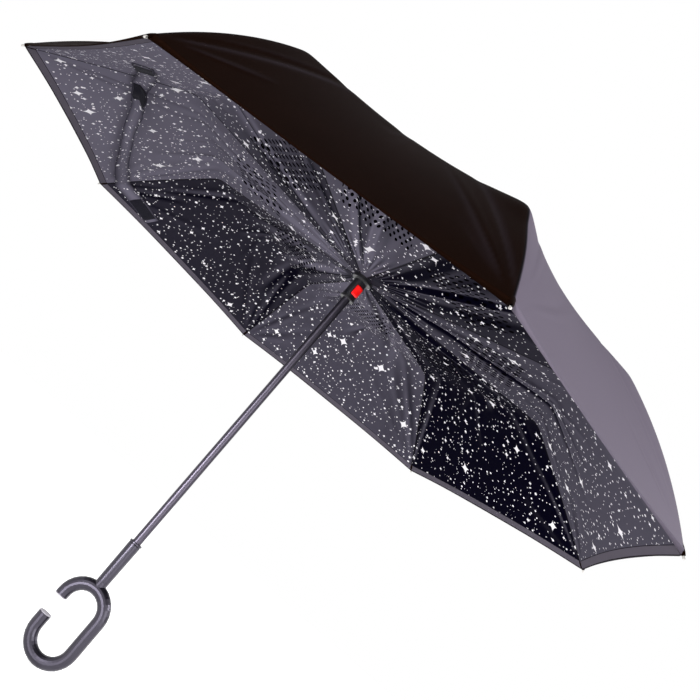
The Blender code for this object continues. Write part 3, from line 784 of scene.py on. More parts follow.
def hub_creases(count: int) -> CreaseKind:
    """Gives a number of creases that start at the hub."""
    return CreaseKind(
        Origin.HUB, count, (-0.36, 0.36), (0.01, 0.05), (0.16, 0.36), (0.010, 0.021),
        (0.0016, 0.0040), (-0.6, 0.6),
    )


TIP_CREASES = (*tip_creases(Origin.NEAR_TIP, 1), *tip_creases(Origin.FAR_TIP, -1))
CREASES = {
    Side.INNER: (hub_creases(4), *TIP_CREASES, LONG_CREASES, KNEE_CREASES),
    Side.OUTER: (hub_creases(3), *TIP_CREASES, KNEE_CREASES),
}


@dataclass
class Grid:
    """Points of a sheet, row by row, and what its maps need to know of each point."""

    points: np.ndarray
    facing: np.ndarray
    across: np.ndarray
    along: np.ndarray
    seam: np.ndarray
    rim: np.ndarray

    def then(self, other: Grid) -> Grid:
        """Gives this grid's rows with another grid's rows after them."""
        return Grid(*(np.concatenate(pair) for pair in zip(vars(self).values(), vars(other).values())))


def unit(ways: np.ndarray) -> np.ndarray:
    """Gives the same directions as unit vectors."""
    return ways / np.linalg.norm(ways, axis=-1, keepdims=True)


@dataclass
class Layer:
    """One layer of the canopy as a single smooth sheet over all eight ribs."""

    side: Side
    # Radius and height above the rim of the corners of the line along a rib, and its arches' rises.
    inner_hub: Pair = (0.0160, 0.0851)
    inner_knee: Pair = (0.335, 0.110)
    outer_hub: Pair = (0.0060, 0.1682)
    outer_flat: Pair = (0.0180, 0.1682)
    flat_share: float = 0.08
    outer_knee: Pair = (0.370, 0.1495)
    outer_dome: float = 0.004
    outer_side: float = 0.0095
    inner_side: float = 0.002
    # How far the cloth keeps from the rod and from the other layer at the rim, and its half thickness.
    rod_room: float = 0.0027
    edge_room: float = 0.00015
    skin: float = 0.0003
    # How much flatter than a chord each gore hangs between its ribs, at the knee and at the rim.
    inner_hollow: Pair = (1.22, 1.14)
    outer_hollow: Pair = (1.85, 1.14)
    # Creases fade out this near the hub, the rim and the seams.
    hub_hold: float = 0.12
    rim_hold: float = 0.03
    seam_hold: float = 0.016
    ridge: float = 0.004
    # How far the outer cloth stands off each rib just past the knee: there, how long and how wide.
    puffs: tuple[float, ...] = (0.002, 0.001, 0.003, 0.001, 0.002, 0.0, 0.005, 0.0)
    puff_place: tuple[float, float, float] = (1.12, 0.14, 0.03)
    # The gathers round the hub: where, how far, how high, how many in a radian and how shifted.
    gather: tuple[float, ...] = (0.055, 0.035, 0.0005, 46, 1.7)
    # The line's corners are rounded over this length, in fine steps.
    fold: float = 0.008
    fine: float = 0.0005
    # Steps over which slopes and the cloth's facing are taken.
    slope_step: float = 0.004
    facing_step: float = 0.012
    facing_width: float = 0.0025
    # The width that a crease's tilt is read over, and how strongly it changes each layer's painted light
    # and shade.
    painted_crease_light_width: float = 0.0015
    painted_crease_lights: Pair = (1.1, 0.45)
    seed: int = 11

    def __post_init__(self) -> None:
        """Traces the layer's line along a rib and lays out its creases."""
        shares = np.linspace(0, 2, 1601)
        points = np.array([self.line(share) for share in shares])
        steps = np.hypot(*np.diff(points, axis=0).T)
        length = np.concatenate([[0], np.cumsum(steps)])
        even = np.linspace(0, length[-1], int(length[-1] / self.fine) + 1)
        line = np.stack([np.interp(even, length, points[:, side]) for side in (0, 1)], 1)
        reach = int(self.fold * 3 / self.fine)
        weights = np.exp(-0.5 * (np.arange(-reach, reach + 1) * self.fine / self.fold) ** 2)
        before = 2 * line[0] - line[reach:0:-1]
        after = 2 * line[-1] - line[-2 : -reach - 2 : -1]
        padded = np.concatenate([before, line, after])
        smooth = np.stack(
            [np.convolve(padded[:, side], weights / weights.sum(), "valid") for side in (0, 1)], 1
        )
        self.radii = np.interp(length, even, smooth[:, 0])
        self.heights = np.interp(length, even, smooth[:, 1])
        self.shares = shares
        middle = np.hypot(np.diff(self.radii) * math.cos(HALF), np.diff(self.heights))
        self.lengths = np.concatenate([[0], np.cumsum(middle)])
        self.creases = [self.lay_creases(gore) for gore in range(RIBS)]

    def line(self, share: float) -> Pair:
        """Gives the sharp line along a rib.

        Args:
            share: 0 at the hub, 1 at the knee and 2 at the rim.

        Returns:
            Radius and height above the rim.
        """
        rim = (RIM_RADIUS, 0.0)
        if self.side is Side.INNER:
            if share <= 1:
                return self.arched(self.inner_hub, self.inner_knee, share, 0.0)
            return self.arched(self.inner_knee, rim, share - 1, self.inner_side)
        if share <= self.flat_share:
            return self.arched(self.outer_hub, self.outer_flat, share / self.flat_share, 0.0)
        if share <= 1:
            share = (share - self.flat_share) / (1 - self.flat_share)
            return self.arched(self.outer_flat, self.outer_knee, share, self.outer_dome)
        return self.arched(self.outer_knee, rim, share - 1, self.outer_side)

    @staticmethod
    def arched(
        start: Pair, end: Pair, share: float, rise: float
    ) -> Pair:
        """Gives a point of a shallow arch between two points."""
        slope = math.atan2(end[1] - start[1], end[0] - start[0])
        lift = 4 * rise * share * (1 - share)
        return (
            start[0] + (end[0] - start[0]) * share - lift * math.sin(slope),
            start[1] + (end[1] - start[1]) * share + lift * math.cos(slope),
        )

    def lay_creases(self, gore: int) -> list[Crease]:
        """Chooses the creases of a gore, the same on every run.

        Args:
            gore: the gore's number from 0.

        Returns:
            Its creases, from the hub, the tips and the knee.
        """
        outer = self.side is Side.OUTER
        chance = np.random.default_rng(self.seed + 17 * gore + (500 if outer else 0))
        strong = 0.6 if outer else 1.0
        return [crease for kind in CREASES[self.side] for crease in kind.draw(chance, strong)]

    def at(self, share: np.ndarray, values: np.ndarray) -> np.ndarray:
        """Reads one of the lists along the layer's line at a share."""
        return np.interp(share, self.shares, values)

    def place(self, share: np.ndarray, turn: np.ndarray, gore: np.ndarray | None = None) -> dict:
        """Works out where points of the layer are.

        Args:
            share: 0 at the hub, 1 at the knee and 2 at the rim.
            turn: the turn about the shaft from the first rib.
            gore: the gore to lay the pattern from, where it isn't the one that the turn falls in.

        Returns:
            The points, and their places on the flat gore and from its edges.
        """
        inside = np.floor(turn / STEP + 1e-9)
        gore = inside if gore is None else gore
        part = turn / STEP - inside
        near = np.minimum(part, 1 - part) * STEP
        radius, height = self.at(share, self.radii), self.at(share, self.heights)
        slope_r, slope_z = [
            self.at(share + self.slope_step, values) - self.at(share - self.slope_step, values)
            for values in (self.radii, self.heights)
        ]
        size = np.hypot(slope_r, slope_z)
        round_off = self.ridge / np.maximum(radius, 0.01)
        bent = np.sqrt(near**2 + round_off**2) - round_off * (1 - near / HALF)
        chord = math.cos(HALF) / np.cos(HALF - np.minimum(bent, HALF))
        knee, rim = self.outer_hollow if self.side is Side.OUTER else self.inner_hollow
        hollow = np.minimum(1, share / 0.1) + (knee - 1) * np.clip((share - 0.1) / 0.9, 0, 1)
        hollow = hollow + (rim - knee) * np.clip(share - 1, 0, 1)
        radius = radius * (1 - (1 - chord) * hollow)
        room = np.maximum(0, share - 1) * (
            self.edge_room + (self.rod_room - self.edge_room) * np.abs(2 * part - 1) ** 3
        )
        way = 1 if self.side is Side.OUTER else -1
        across = radius * np.sin(turn - (gore + 0.5) * STEP)
        along = self.at(share, self.lengths)
        lift = self.crease_lift(inside, radius * np.sin(turn - (inside + 0.5) * STEP), along)
        seam = radius * np.sin(near)
        depth = self.lengths[-1] - along
        hold = np.clip(seam / self.seam_hold, 0, 1) * np.clip(depth / self.rim_hold, 0, 1)
        hold = hold * np.clip(share / self.hub_hold, 0, 1)
        lift = lift * hold * hold * (3 - 2 * hold)
        if self.side is Side.OUTER:
            rib = np.floor(turn / STEP + 0.5).astype(int) % RIBS
            puff = np.array(self.puffs)[rib]
            at, long, wide = self.puff_place
            lift = lift + puff * np.exp(-(((share - at) / long) ** 2) - (seam / wide) ** 2)
        radius = radius - lift * slope_z / size
        height = height + lift * slope_r / size + way * (room + self.skin)
        angle = turn + HALF
        points = np.stack([radius * np.cos(angle), radius * np.sin(angle), RIM_HEIGHT + height], -1)
        return {"points": points, "across": across, "along": along, "seam": seam, "rim": depth}

    def crease_lift(self, gore: np.ndarray, across: np.ndarray, along: np.ndarray) -> np.ndarray:
        """Adds up the creases of the gore that each point lies in."""
        tip = (RIM_RADIUS * math.sin(HALF), float(self.lengths[-1]))
        total = np.zeros_like(along)
        for number in range(RIBS):
            here = (gore.astype(int) % RIBS) == number
            if not here.any():
                continue
            for crease in self.creases[number]:
                total[here] += crease.rise(across[here], along[here], tip)
        place, reach, height, count, shift = self.gather
        gather = np.exp(-((along - place) / reach) ** 2) * height
        return total + gather * np.sin(across / np.maximum(along, 0.01) * count + gore * shift)

    def painted_crease_light(self, share: np.ndarray, turn: np.ndarray) -> np.ndarray:
        """Works out the painted light and shade that a crease gives each point, from how far it tilts the
        cloth.
        """
        gore = np.floor(turn / STEP + 1e-9)
        across = self.at(share, self.radii) * np.sin(turn - (gore + 0.5) * STEP)
        along = self.at(share, self.lengths)
        before, after = across - self.painted_crease_light_width, across + self.painted_crease_light_width
        rise = self.crease_lift(gore, after, along) - self.crease_lift(gore, before, along)
        depth = self.lengths[-1] - along
        hold = np.clip(depth / self.rim_hold, 0, 1) * np.clip(share / self.hub_hold, 0, 1)
        strength = self.painted_crease_lights[self.side is Side.OUTER]
        return strength * hold * rise / (2 * self.painted_crease_light_width)

    def facing(self, share: np.ndarray, turn: np.ndarray) -> np.ndarray:
        """Works out the direction that the visible side faces at each point.

        Args:
            share: 0 at the hub, 1 at the knee and 2 at the rim.
            turn: the turn about the shaft from the first rib.

        Returns:
            One unit vector for each point.
        """
        back, ahead = np.clip(share - self.facing_step, 0, 2), np.clip(share + self.facing_step, 0, 2)
        outward = self.place(ahead, turn)["points"] - self.place(back, turn)["points"]
        small = self.facing_width / np.maximum(self.at(share, self.radii), 0.02)
        round_about = self.place(share, turn + small)["points"] - self.place(share, turn - small)["points"]
        normal = unit(np.cross(outward, round_about))
        return normal if self.side is Side.OUTER else -normal


@dataclass
class Sheet:
    """A grid of points that becomes one mesh with its maps and smooth shading."""

    name: str
    points: np.ndarray
    facing: np.ndarray
    maps: dict[str, np.ndarray]
    flip: bool = False

    def build(self) -> Object:
        """Makes the mesh; each map holds a pair of numbers for each corner of each face.

        Returns:
            The new object, linked to the scene.
        """
        rows, columns = self.points.shape[:2]
        index = np.arange(rows * columns).reshape(rows, columns)
        corners = np.stack([index[:-1, :-1], index[:-1, 1:], index[1:, 1:], index[1:, :-1]], -1)
        order = [3, 2, 1, 0] if self.flip else [0, 1, 2, 3]
        faces = corners[..., order].reshape(-1, 4)
        mesh = bpy.data.meshes.new(self.name)
        mesh.from_pydata(self.points.reshape(-1, 3).tolist(), [], faces.tolist())
        for name, values in self.maps.items():
            layer = mesh.uv_layers.new(name=name)
            if values.ndim == 3:
                flat = values.reshape(-1, 2)[faces]
            else:
                flat = values[..., order, :].reshape(-1, 2)
            layer.data.foreach_set("uv", flat.reshape(-1).astype(np.float32))
        mesh.polygons.foreach_set("use_smooth", [True] * len(mesh.polygons))
        mesh.update()
        mesh.normals_split_custom_set_from_vertices(self.facing.reshape(-1, 3).tolist())
        return placed(self.name, mesh)

    def area(self) -> float:
        """Adds up the area of the grid's faces, in square metres."""
        a, b = self.points[1:, 1:] - self.points[:-1, :-1], self.points[1:, :-1] - self.points[:-1, 1:]
        return float(np.linalg.norm(np.cross(a, b), axis=-1).sum() / 2)


@dataclass(frozen=True)
class Fold:
    """The numbers for how a piece of cloth narrows towards its rib as the umbrella closes; apply doesn't
    use them.

    keep is the share of its width that it keeps. fall is the slope of the rib's line at the piece,
    as a fall for each unit outward, and lean is how far the middle of the gore lies off that line
    for each unit across.
    """

    keep: float
    fall: float = 0.0
    lean: float = 0.0

    def apply(self, obj: Object, rib: int, part: Part) -> None:
        """Gives a piece its own copy of its mesh.

        Args:
            obj: the piece.
            rib: the rib's number from 0; not used.
            part: which half of the petal it is, or the whole; not used.
        """
        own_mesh(obj)


INNER_RIM_FOLD = Fold(0.22, fall=0.110 / 0.195, lean=0.224)
OUTER_RIM_FOLD = Fold(0.20, fall=0.1495 / 0.160, lean=0.33)


@dataclass
class Zone:
    """The part of a layer that moves with one member of the folding frame."""

    layer: Layer
    name: str
    body: str
    start: float
    end: float
    rows: int
    fold: Fold
    slot: str
    finish: Finish
    hidden: float = 0.0
    hidden_rows: int = 6
    hidden_step: float = 0.14
    spread: tuple[Pair, ...] = ()
    parts: tuple[Part, ...] = (Part.WHOLE,)
    # Columns from the rib to a seam, how far flaps lie under the next petal, how far the rim rolls out.
    half_columns: int = 56
    flap_drop: float = 0.0009
    roll_out: float = 0.0016
    # The print starts anew in each gore and on each side, this far along and across.
    gore_shift: Pair = (0.613, 0.271)
    side_shift: float = 9.0
    # A gore's painted light passes from its hub level to its rim level: reach, steepness and start.
    painted_light_passage: tuple[float, float, float] = (0.5, 3, 1.1)

    def turns(self, shares: np.ndarray, rib: int, part: Part) -> tuple[np.ndarray, np.ndarray]:
        """Lays out the turns of a petal's columns, with a hidden flap along each side.

        Args:
            shares: the share of each row.
            rib: the rib's number from 0.
            part: how much of the petal to lay out.

        Returns:
            The turn of each point from the first rib, and how far it is into a flap.
        """
        low, high = part.value
        columns = np.linspace(low, high, (high - low) * self.half_columns + 1)
        turn = np.tile(columns * HALF, (len(shares), 1))
        flap = np.zeros_like(turn)
        if self.spread:
            known = np.array(self.spread)
            extra = np.radians(np.interp(shares, known[:, 0], known[:, 1]))[:, None]
            parts = np.array([[0.25, 0.5, 0.75, 1.0]])
            wide = HALF + extra * parts
            turn = np.concatenate([-wide[:, ::-1], turn, wide], axis=1)
            inside = np.tile(parts, (len(shares), 1))
            flap = np.concatenate([inside[:, ::-1], flap, inside], axis=1)
        return turn + rib * STEP, flap

    def petal(self, rib: int, part: Part, partner: Layer | None = None) -> Sheet:
        """Makes the petal that is centred on a rib.

        Args:
            rib: the rib's number from 0.
            part: how much of the petal to make.
            partner: the other layer, where this petal's rim is rolled over it.

        Returns:
            The petal as a grid with its maps.
        """
        shares = np.linspace(self.start, self.end, self.rows)
        turn, flap = self.turns(shares, rib, part)
        share = np.tile(shares[:, None], (1, turn.shape[1]))
        past_rib = np.arange(turn.shape[1]) >= part.past_rib(turn.shape[1])
        gore = np.where(past_rib[None], rib, rib - 1.0) + 0 * turn
        grid = Grid(facing=self.layer.facing(share, turn), **self.layer.place(share, turn, gore))
        grid.points = grid.points - grid.facing * (flap**0.5 * self.flap_drop)[..., None]
        before = self.hidden_rows if self.hidden else 0
        if self.hidden:
            grid = self.hidden_edge(grid, share[0], turn[0]).then(grid)
        if partner is not None:
            grid = self.roll(turn[-1], grid, partner)
        # Painted light and shade from the creases' tilt, repeated over the hidden and rolled rows.
        painted_crease_light = self.layer.painted_crease_light(share, turn)
        after = len(grid.points) - len(painted_crease_light) - before
        painted_crease_light = np.pad(painted_crease_light, ((before, after), (0, 0)), mode="edge")
        maps = self.maps(rib, part, grid, painted_crease_light)
        name = f"{self.name}_{rib + 1}" + ("" if part is Part.WHOLE else f"_{part.name.lower()}")
        return Sheet(name, grid.points, grid.facing, maps, flip=self.layer.side is Side.OUTER)

    def hidden_edge(self, grid: Grid, share: np.ndarray, turn: np.ndarray) -> Grid:
        """Makes the rows by which the petal runs on under its neighbour towards the hub.

        Args:
            grid: the petal.
            share: the share of each point of its first row.
            turn: the turn of each point of its first row.

        Returns:
            The rows that come before the petal's first one.
        """
        grow = np.linspace(self.hidden, 0, self.hidden_rows + 1)[:-1, None]
        line = grid.points[0]
        ahead = self.layer.place(share + self.hidden_step, turn)["points"]
        way = unit(line - ahead + (line - self.layer.place(share, turn)["points"]))
        return Grid(
            points=line[None] + way[None] * grow[..., None],
            facing=np.tile(grid.facing[:1], (len(grow), 1, 1)),
            across=np.tile(grid.across[:1], (len(grow), 1)),
            along=grid.along[:1] - grow,
            seam=np.tile(grid.seam[:1], (len(grow), 1)),
            rim=grid.rim[:1] + grow,
        )

    def roll(self, turn: np.ndarray, grid: Grid, partner: Layer) -> Grid:
        """Rolls the rim of the petal over the edge of the other layer.

        Args:
            turn: the turn of each column.
            grid: the petal.
            partner: the other layer.

        Returns:
            The petal with the rolled rows added.
        """
        ones = np.ones_like(turn)
        edge = grid.points[-1]
        over = partner.place(2.0 * ones, turn)["points"]
        back = partner.place(1.995 * ones, turn)["points"]
        out = unit(over - back)
        up = partner.facing(1.99 * ones, turn)
        rows = (
            (edge + out * self.roll_out / 2, grid.facing[-1] * 0.5 + out),
            ((edge + over) / 2 + out * self.roll_out, out),
            (over + out * 0.0009 + up * 0.0005, up * 0.6 + out),
            (back + up * 0.0006, up),
        )
        for number, (line, face) in enumerate(rows, 1):
            row = Grid(
                points=line[None],
                facing=unit(face)[None],
                across=grid.across[-1:],
                along=grid.along[-1:] + MM,
                seam=grid.seam[-1:] * 0 + 0.02,
                rim=grid.rim[-1:] * 0 - MM * number,
            )
            grid = grid.then(row)
        return grid

    def maps(self, rib: int, part: Part, grid: Grid, painted_crease_light: np.ndarray) -> dict[str, np.ndarray]:
        """Lays the cloth's maps face by face, because the print starts anew at each rib seam.

        Args:
            rib: the rib's number from 0.
            part: how much of the petal the points cover.
            grid: the petal.
            painted_crease_light: the painted light or shade that the creases give each point.

        Returns:
            The print, gore and edge maps, and the map of painted light and shade.
        """
        columns = grid.points.shape[1]
        middle = part.past_rib(columns)

        def corners(values: np.ndarray) -> np.ndarray:
            """Gives the grid's value at the four corners of each face."""
            return np.stack([values[:-1, :-1], values[:-1, 1:], values[1:, 1:], values[1:, :-1]], -1)

        across, along = corners(grid.across), corners(grid.along)
        if part is Part.WHOLE:
            across[:, middle - 1, 1:3] *= -1
        gore = np.where(np.arange(columns - 1) < middle, (rib - 1) % RIBS, rib)[None, :, None]
        across_shift, along_shift = self.gore_shift
        shift = across_shift * gore + (self.side_shift if self.layer.side is Side.OUTER else 0.0)
        # Painted light and shade: each gore's level from hub to rim plus the creases' painted light; the
        # second channel holds the outer cloth's rim level for the rolled strip.
        reach, steep, start = self.painted_light_passage
        near, far = np.moveaxis(np.array(PAINTED_LIGHT_LEVELS[self.layer.side.value])[gore], -1, 0)
        outward = np.clip(along / reach * steep - start, 0, 1)
        painted_lit = np.clip(near + (far - near) * outward + corners(painted_crease_light), 0, 1)
        other = np.array(PAINTED_LIGHT_LEVELS["outer"])[gore][..., 1] + 0 * painted_lit
        return {
            "cloth": np.stack([across + shift, along + along_shift * gore], -1),
            "gore": np.stack([across, along], -1),
            "edges": np.stack([corners(grid.seam), corners(grid.rim)], -1),
            "lustre": np.stack([painted_lit, other], -1),
        }

    def build(self, partner: Layer | None = None) -> None:
        """Args:
            partner: the other layer, where the petals' rims are rolled over it.
        """
        for rib, part in itertools.product(range(RIBS), self.parts):
            sheet = self.petal(rib, part, partner)
            obj = sheet.build()
            self.finish.dress(obj)
            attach(obj, self.body.format(rib + 1))
            self.fold.apply(obj, rib, part)
            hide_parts(f"{self.layer.side.value}_gore_{rib + 1}")
            area = sheet.area()
        log.info("%s: %d pieces", self.name, RIBS * len(self.parts))


@dataclass
class Canopy:
    """Both layers, cut along lines that let them fold with the frame."""

    inner: Layer = field(default_factory=lambda: Layer(Side.INNER))
    outer: Layer = field(default_factory=lambda: Layer(Side.OUTER))
    outer_cut: float = 0.888

    def build(self) -> None:
        """Makes the four zones of petals."""
        hub_flaps = ((0.0, 34), (0.05, 20), (0.11, 10), (0.2, 4), (0.3, 0.6), (0.4, 0.0))
        halves = (Part.NEAR, Part.FAR)
        inner, outer = ("inner_cloth", INNER_PONGEE), ("outer_cloth", OUTER_PONGEE)
        cut = self.outer_cut
        Zone(
            self.inner, "inner_cloth_hub", "rib_{}_arm", 0.0, 1.0, 84, Fold(0.27), *inner, spread=hub_flaps
        ).build()
        Zone(
            self.inner, "inner_cloth_rim", "rod_{}_arm", 1.0, 2.0, 60, INNER_RIM_FOLD, *inner,
            hidden=0.032, parts=halves,
        ).build(self.outer)
        Zone(self.outer, "outer_cloth_crown", "strut_{}_arm", 0.0, cut, 76, Fold(0.09), *outer).build()
        Zone(
            self.outer, "outer_cloth_rim", "rod_{}_arm", cut, 2.0, 76, OUTER_RIM_FOLD, *outer, parts=halves
        ).build()


@dataclass(frozen=True)
class Band:
    """A length of the strap, or a patch of tape on it, that moves with one rod."""

    name: str
    low: float
    high: float
    rod: int
    part: Part
    nodes: tuple[str, ...] = ()
    tape: bool = False


@dataclass
class ClosureStrap:
    """Band of the printed cloth with a patch of hook tape near each end."""

    layer: Layer
    # Its width, how far under the cloth it lies, and how much shorter and thinner its tape is.
    width: float = 0.026
    clear: float = 0.0011
    tape_inset: float = 0.0025
    tape_rise: float = 0.0009
    # How far it sags in the middle, how much narrower it is there, and how far it twists.
    slack: float = 0.013
    waist: float = 0.35
    lean: float = 0.008
    # Its points: columns across it, and rows along a length and along a patch of tape.
    columns: int = 9
    rows: tuple[int, int] = (28, 12)
    # Where the strap's own print starts, and how far its edges keep from the seam line.
    print_from: Pair = (5.31, 2.2)
    seam_room: float = 0.004
    # Turns about the shaft, in degrees, and how far out it lies, from 0 at the knee to 1 at the rim.
    knee_radius: float = 0.335
    line: tuple[Pair, ...] = (
        (224, 0.651), (213, 0.455), (202.5, 0.335), (195, 0.410), (186, 0.538), (175, 0.651),
        (168, 0.728), (161, 0.779), (154, 0.831), (147, 0.887),
    )
    bands: tuple[Band, ...] = (
        Band("strap_end_lower", 147, 157.5, 4, Part.NEAR, ("closure_strap",)),
        Band("strap_lower", 157.5, 180.0, 4, Part.FAR),
        Band("strap_upper", 180.0, 202.5, 5, Part.NEAR),
        Band("strap_end_upper", 202.5, 224, 5, Part.FAR),
        Band("strap_hook_tape", 216.3, 222.8, 5, Part.FAR, ("hook_pad",), tape=True),
        Band("strap_tape_upper", 197.0, 202.3, 5, Part.NEAR, tape=True),
        Band("strap_loop_tape", 147.7, 153.2, 4, Part.NEAR, ("loop_pad",), tape=True),
    )

    def whole(self, turns: np.ndarray) -> np.ndarray:
        """Gives how far along the whole strap each turn is, from 0 to 1."""
        start, end = self.line[-1][0], self.line[0][0]
        return (turns - start) / (end - start)

    def grid(self, turns: np.ndarray, inset: float, drop: np.ndarray) -> tuple[np.ndarray, np.ndarray]:
        """Lays a band along the strap's line, a little under the inner layer.

        Args:
            turns: the turns about the shaft that the band passes, in degrees.
            inset: how much narrower than the strap each side is, in metres.
            drop: how far under the layer each row is, in metres.

        Returns:
            The band's points and the direction that each faces.
        """
        known = np.array(self.line)[::-1]
        share = np.interp(turns, known[:, 0], known[:, 1])
        kernel = np.hanning(9) / np.hanning(9).sum()
        share = np.convolve(np.pad(share, 4, mode="edge"), kernel, "valid")
        radius = self.knee_radius + (RIM_RADIUS - self.knee_radius) * share
        whole = self.whole(turns)
        middle = np.sin(math.pi * whole) ** 2
        half = (self.width / 2 - inset) * (1 - self.waist * middle)
        side = np.linspace(-1, 1, self.columns)[None]
        wide = radius[:, None] + half[:, None] * side
        places = np.interp(wide, self.layer.radii, self.layer.shares)
        turn = np.tile(np.radians(turns)[:, None] - HALF, (1, self.columns))
        points = self.layer.place(places, turn)["points"]
        layer_facing = self.layer.facing(places, turn)
        lean = self.lean * np.sin(2 * math.pi * whole + 0.6)[:, None] * middle[:, None] * side
        points = points + layer_facing * (drop[:, None] + np.abs(lean) + lean)[..., None]
        rows, columns = np.gradient(points, axis=0), np.gradient(points, axis=1)
        facing = unit(np.cross(rows, columns))
        way = np.sign((facing * layer_facing).sum(-1, keepdims=True))
        return points, facing * way

    def build(self) -> None:
        """Makes the four lengths of the strap and its patches of tape."""
        for band in self.bands:
            turns = np.linspace(band.low, band.high, self.rows[band.tape])
            drop = self.clear + self.slack * np.sin(math.pi * self.whole(turns)) ** 2
            if band.tape:
                drop = drop + self.clear
                drop[[0, -1]] -= self.tape_rise
            self.make(band, *self.grid(turns, self.tape_inset if band.tape else 0.0, drop))
        log.info("closure strap: %d pieces", len(self.bands))

    def make(self, band: Band, points: np.ndarray, facing: np.ndarray) -> None:
        """Turns a band into a piece that moves with a rod.

        Args:
            band: the band.
            points: its points, row by row.
            facing: the direction that each point faces.
        """
        rows = np.linalg.norm(np.diff(points[:, self.columns // 2], axis=0), axis=-1)
        along = np.concatenate([[0], np.cumsum(rows)])[:, None] + 0 * points[..., 0]
        across = np.linspace(-0.5, 0.5, self.columns)[None] * self.width + 0 * points[..., 0]
        print_x, print_y = self.print_from
        # Painted light across the strap: full in the middle, darker towards its edges.
        painted_light_across = 1.0 - 0.8 * np.abs(across / self.width) ** 2 * 4
        maps = {
            "cloth": np.stack([across + print_x, along + points[0, 0, 0] * 3 + print_y], -1),
            "gore": np.stack([across, along + 1.0], -1),
            "edges": np.stack([self.width / 2 - np.abs(across) + self.seam_room, along * 0 + 0.05], -1),
            "lustre": np.stack([painted_light_across, along * 0], -1),
        }
        sheet = Sheet(band.name, points, facing, maps, flip=True)
        obj = sheet.build()
        (HOOK_TAPE if band.tape else INNER_PONGEE).dress(obj)
        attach(obj, f"rod_{band.rod}_arm")
        INNER_RIM_FOLD.apply(obj, band.rod - 1, band.part)
        if band.nodes:
            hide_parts(*band.nodes)


@dataclass
class TipPockets:
    """Small sewn pockets that hold both layers on each rod's capped end."""

    slope: float = -0.67
    length: float = 0.013

    def build(self) -> None:
        """Makes one pocket for each rod, from its closed end to its narrow mouth on the tip."""
        stations = np.array([-1.0, -0.94, -0.75, -0.4, 0.0, 0.22, 0.3, 0.3])
        tall = np.array([3.2, 3.9, 4.1, 3.9, 3.1, 2.3, 1.9, 1.7]) * MM
        wide = np.array([3.6, 4.4, 4.8, 4.4, 3.4, 2.6, 2.1, 1.7]) * MM
        around = np.linspace(0, 2 * math.pi, 25)
        for rib in range(RIBS):
            turn = HALF + rib * STEP
            out = np.array([math.cos(turn), math.sin(turn), 0.0])
            side = np.array([-math.sin(turn), math.cos(turn), 0.0])
            along = out * math.cos(self.slope) + np.array([0, 0, math.sin(self.slope)])
            up = -out * math.sin(self.slope) + np.array([0, 0, math.cos(self.slope)])
            middle = out * RIM_RADIUS + np.array([0, 0, RIM_HEIGHT])
            ring = np.sin(around)[None, :, None] * up * tall[:, None, None]
            ring = ring + np.cos(around)[None, :, None] * side * wide[:, None, None]
            points = middle + along * (stations * self.length)[:, None, None] + ring
            zero = 0 * points[..., 0]
            flat = np.stack([around[None] * 0.004 + zero, stations[:, None] * self.length + zero], -1)
            edges = np.full_like(flat, 0.05)
            maps = {"cloth": flat, "edges": edges, "lustre": 0 * flat}
            obj = Sheet(f"tip_pocket_{rib + 1}", points, unit(ring), maps).build()
            OUTER_PONGEE.dress(obj)
            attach(obj, f"rod_{rib + 1}_arm")
        log.info("tip pockets: %d", RIBS)


@dataclass
class LeafSpring:
    """Leaf behind the release button, which flattens as the button goes in on the real umbrella; here it
    keeps the imported shape.
    """

    turn: float = math.radians(-52)
    root: float = 0.00743
    keep: float = 0.12

    def build(self) -> None:
        """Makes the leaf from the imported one's shape."""
        leaf = placed("leaf_spring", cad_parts["button_spring"].data.copy())
        PLATED_STEEL.dress(leaf)
        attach(leaf, "runner")
        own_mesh(leaf)
        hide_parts("button_spring")
        log.info("leaf spring behind the button")


@dataclass
class Hardware:
    """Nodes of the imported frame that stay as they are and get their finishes."""

    finishes: dict[str, Finish] = field(
        default_factory=lambda: {
            "shaft_tube": SHAFT_STEEL, "shaft_catch": PLATED_STEEL, "handle_sleeve": GRIP_ABS,
            "sleeve_ring": GRIP_ABS, "c_grip": GRIP_ABS, "grip_cap_upper": CAP_ABS,
            "grip_cap_lower": CAP_ABS, "crown": BLACK_ABS, "crown_wire": PLATED_STEEL,
            "top_cap": BLACK_ABS, "runner_body": BLACK_ABS, "runner_collar": BLACK_ABS,
            "runner_wire": PLATED_STEEL, "button_spring": PLATED_STEEL, "release_button": RED_ABS,
        }
    )

    def dress(self) -> None:
        """Gives each node its finish, and the ribs, struts and rods theirs."""
        for name, finish in self.finishes.items():
            finish.dress(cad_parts[name])
        for number in range(1, RIBS + 1):
            RIB_STEEL.dress(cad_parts[f"rib_{number}"])
            RIB_STEEL.dress(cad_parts[f"strut_{number}"])
            ROD_FIBRE.dress(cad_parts[f"rod_{number}"])
        log.info("hardware: %d nodes", len(self.finishes) + 3 * RIBS)


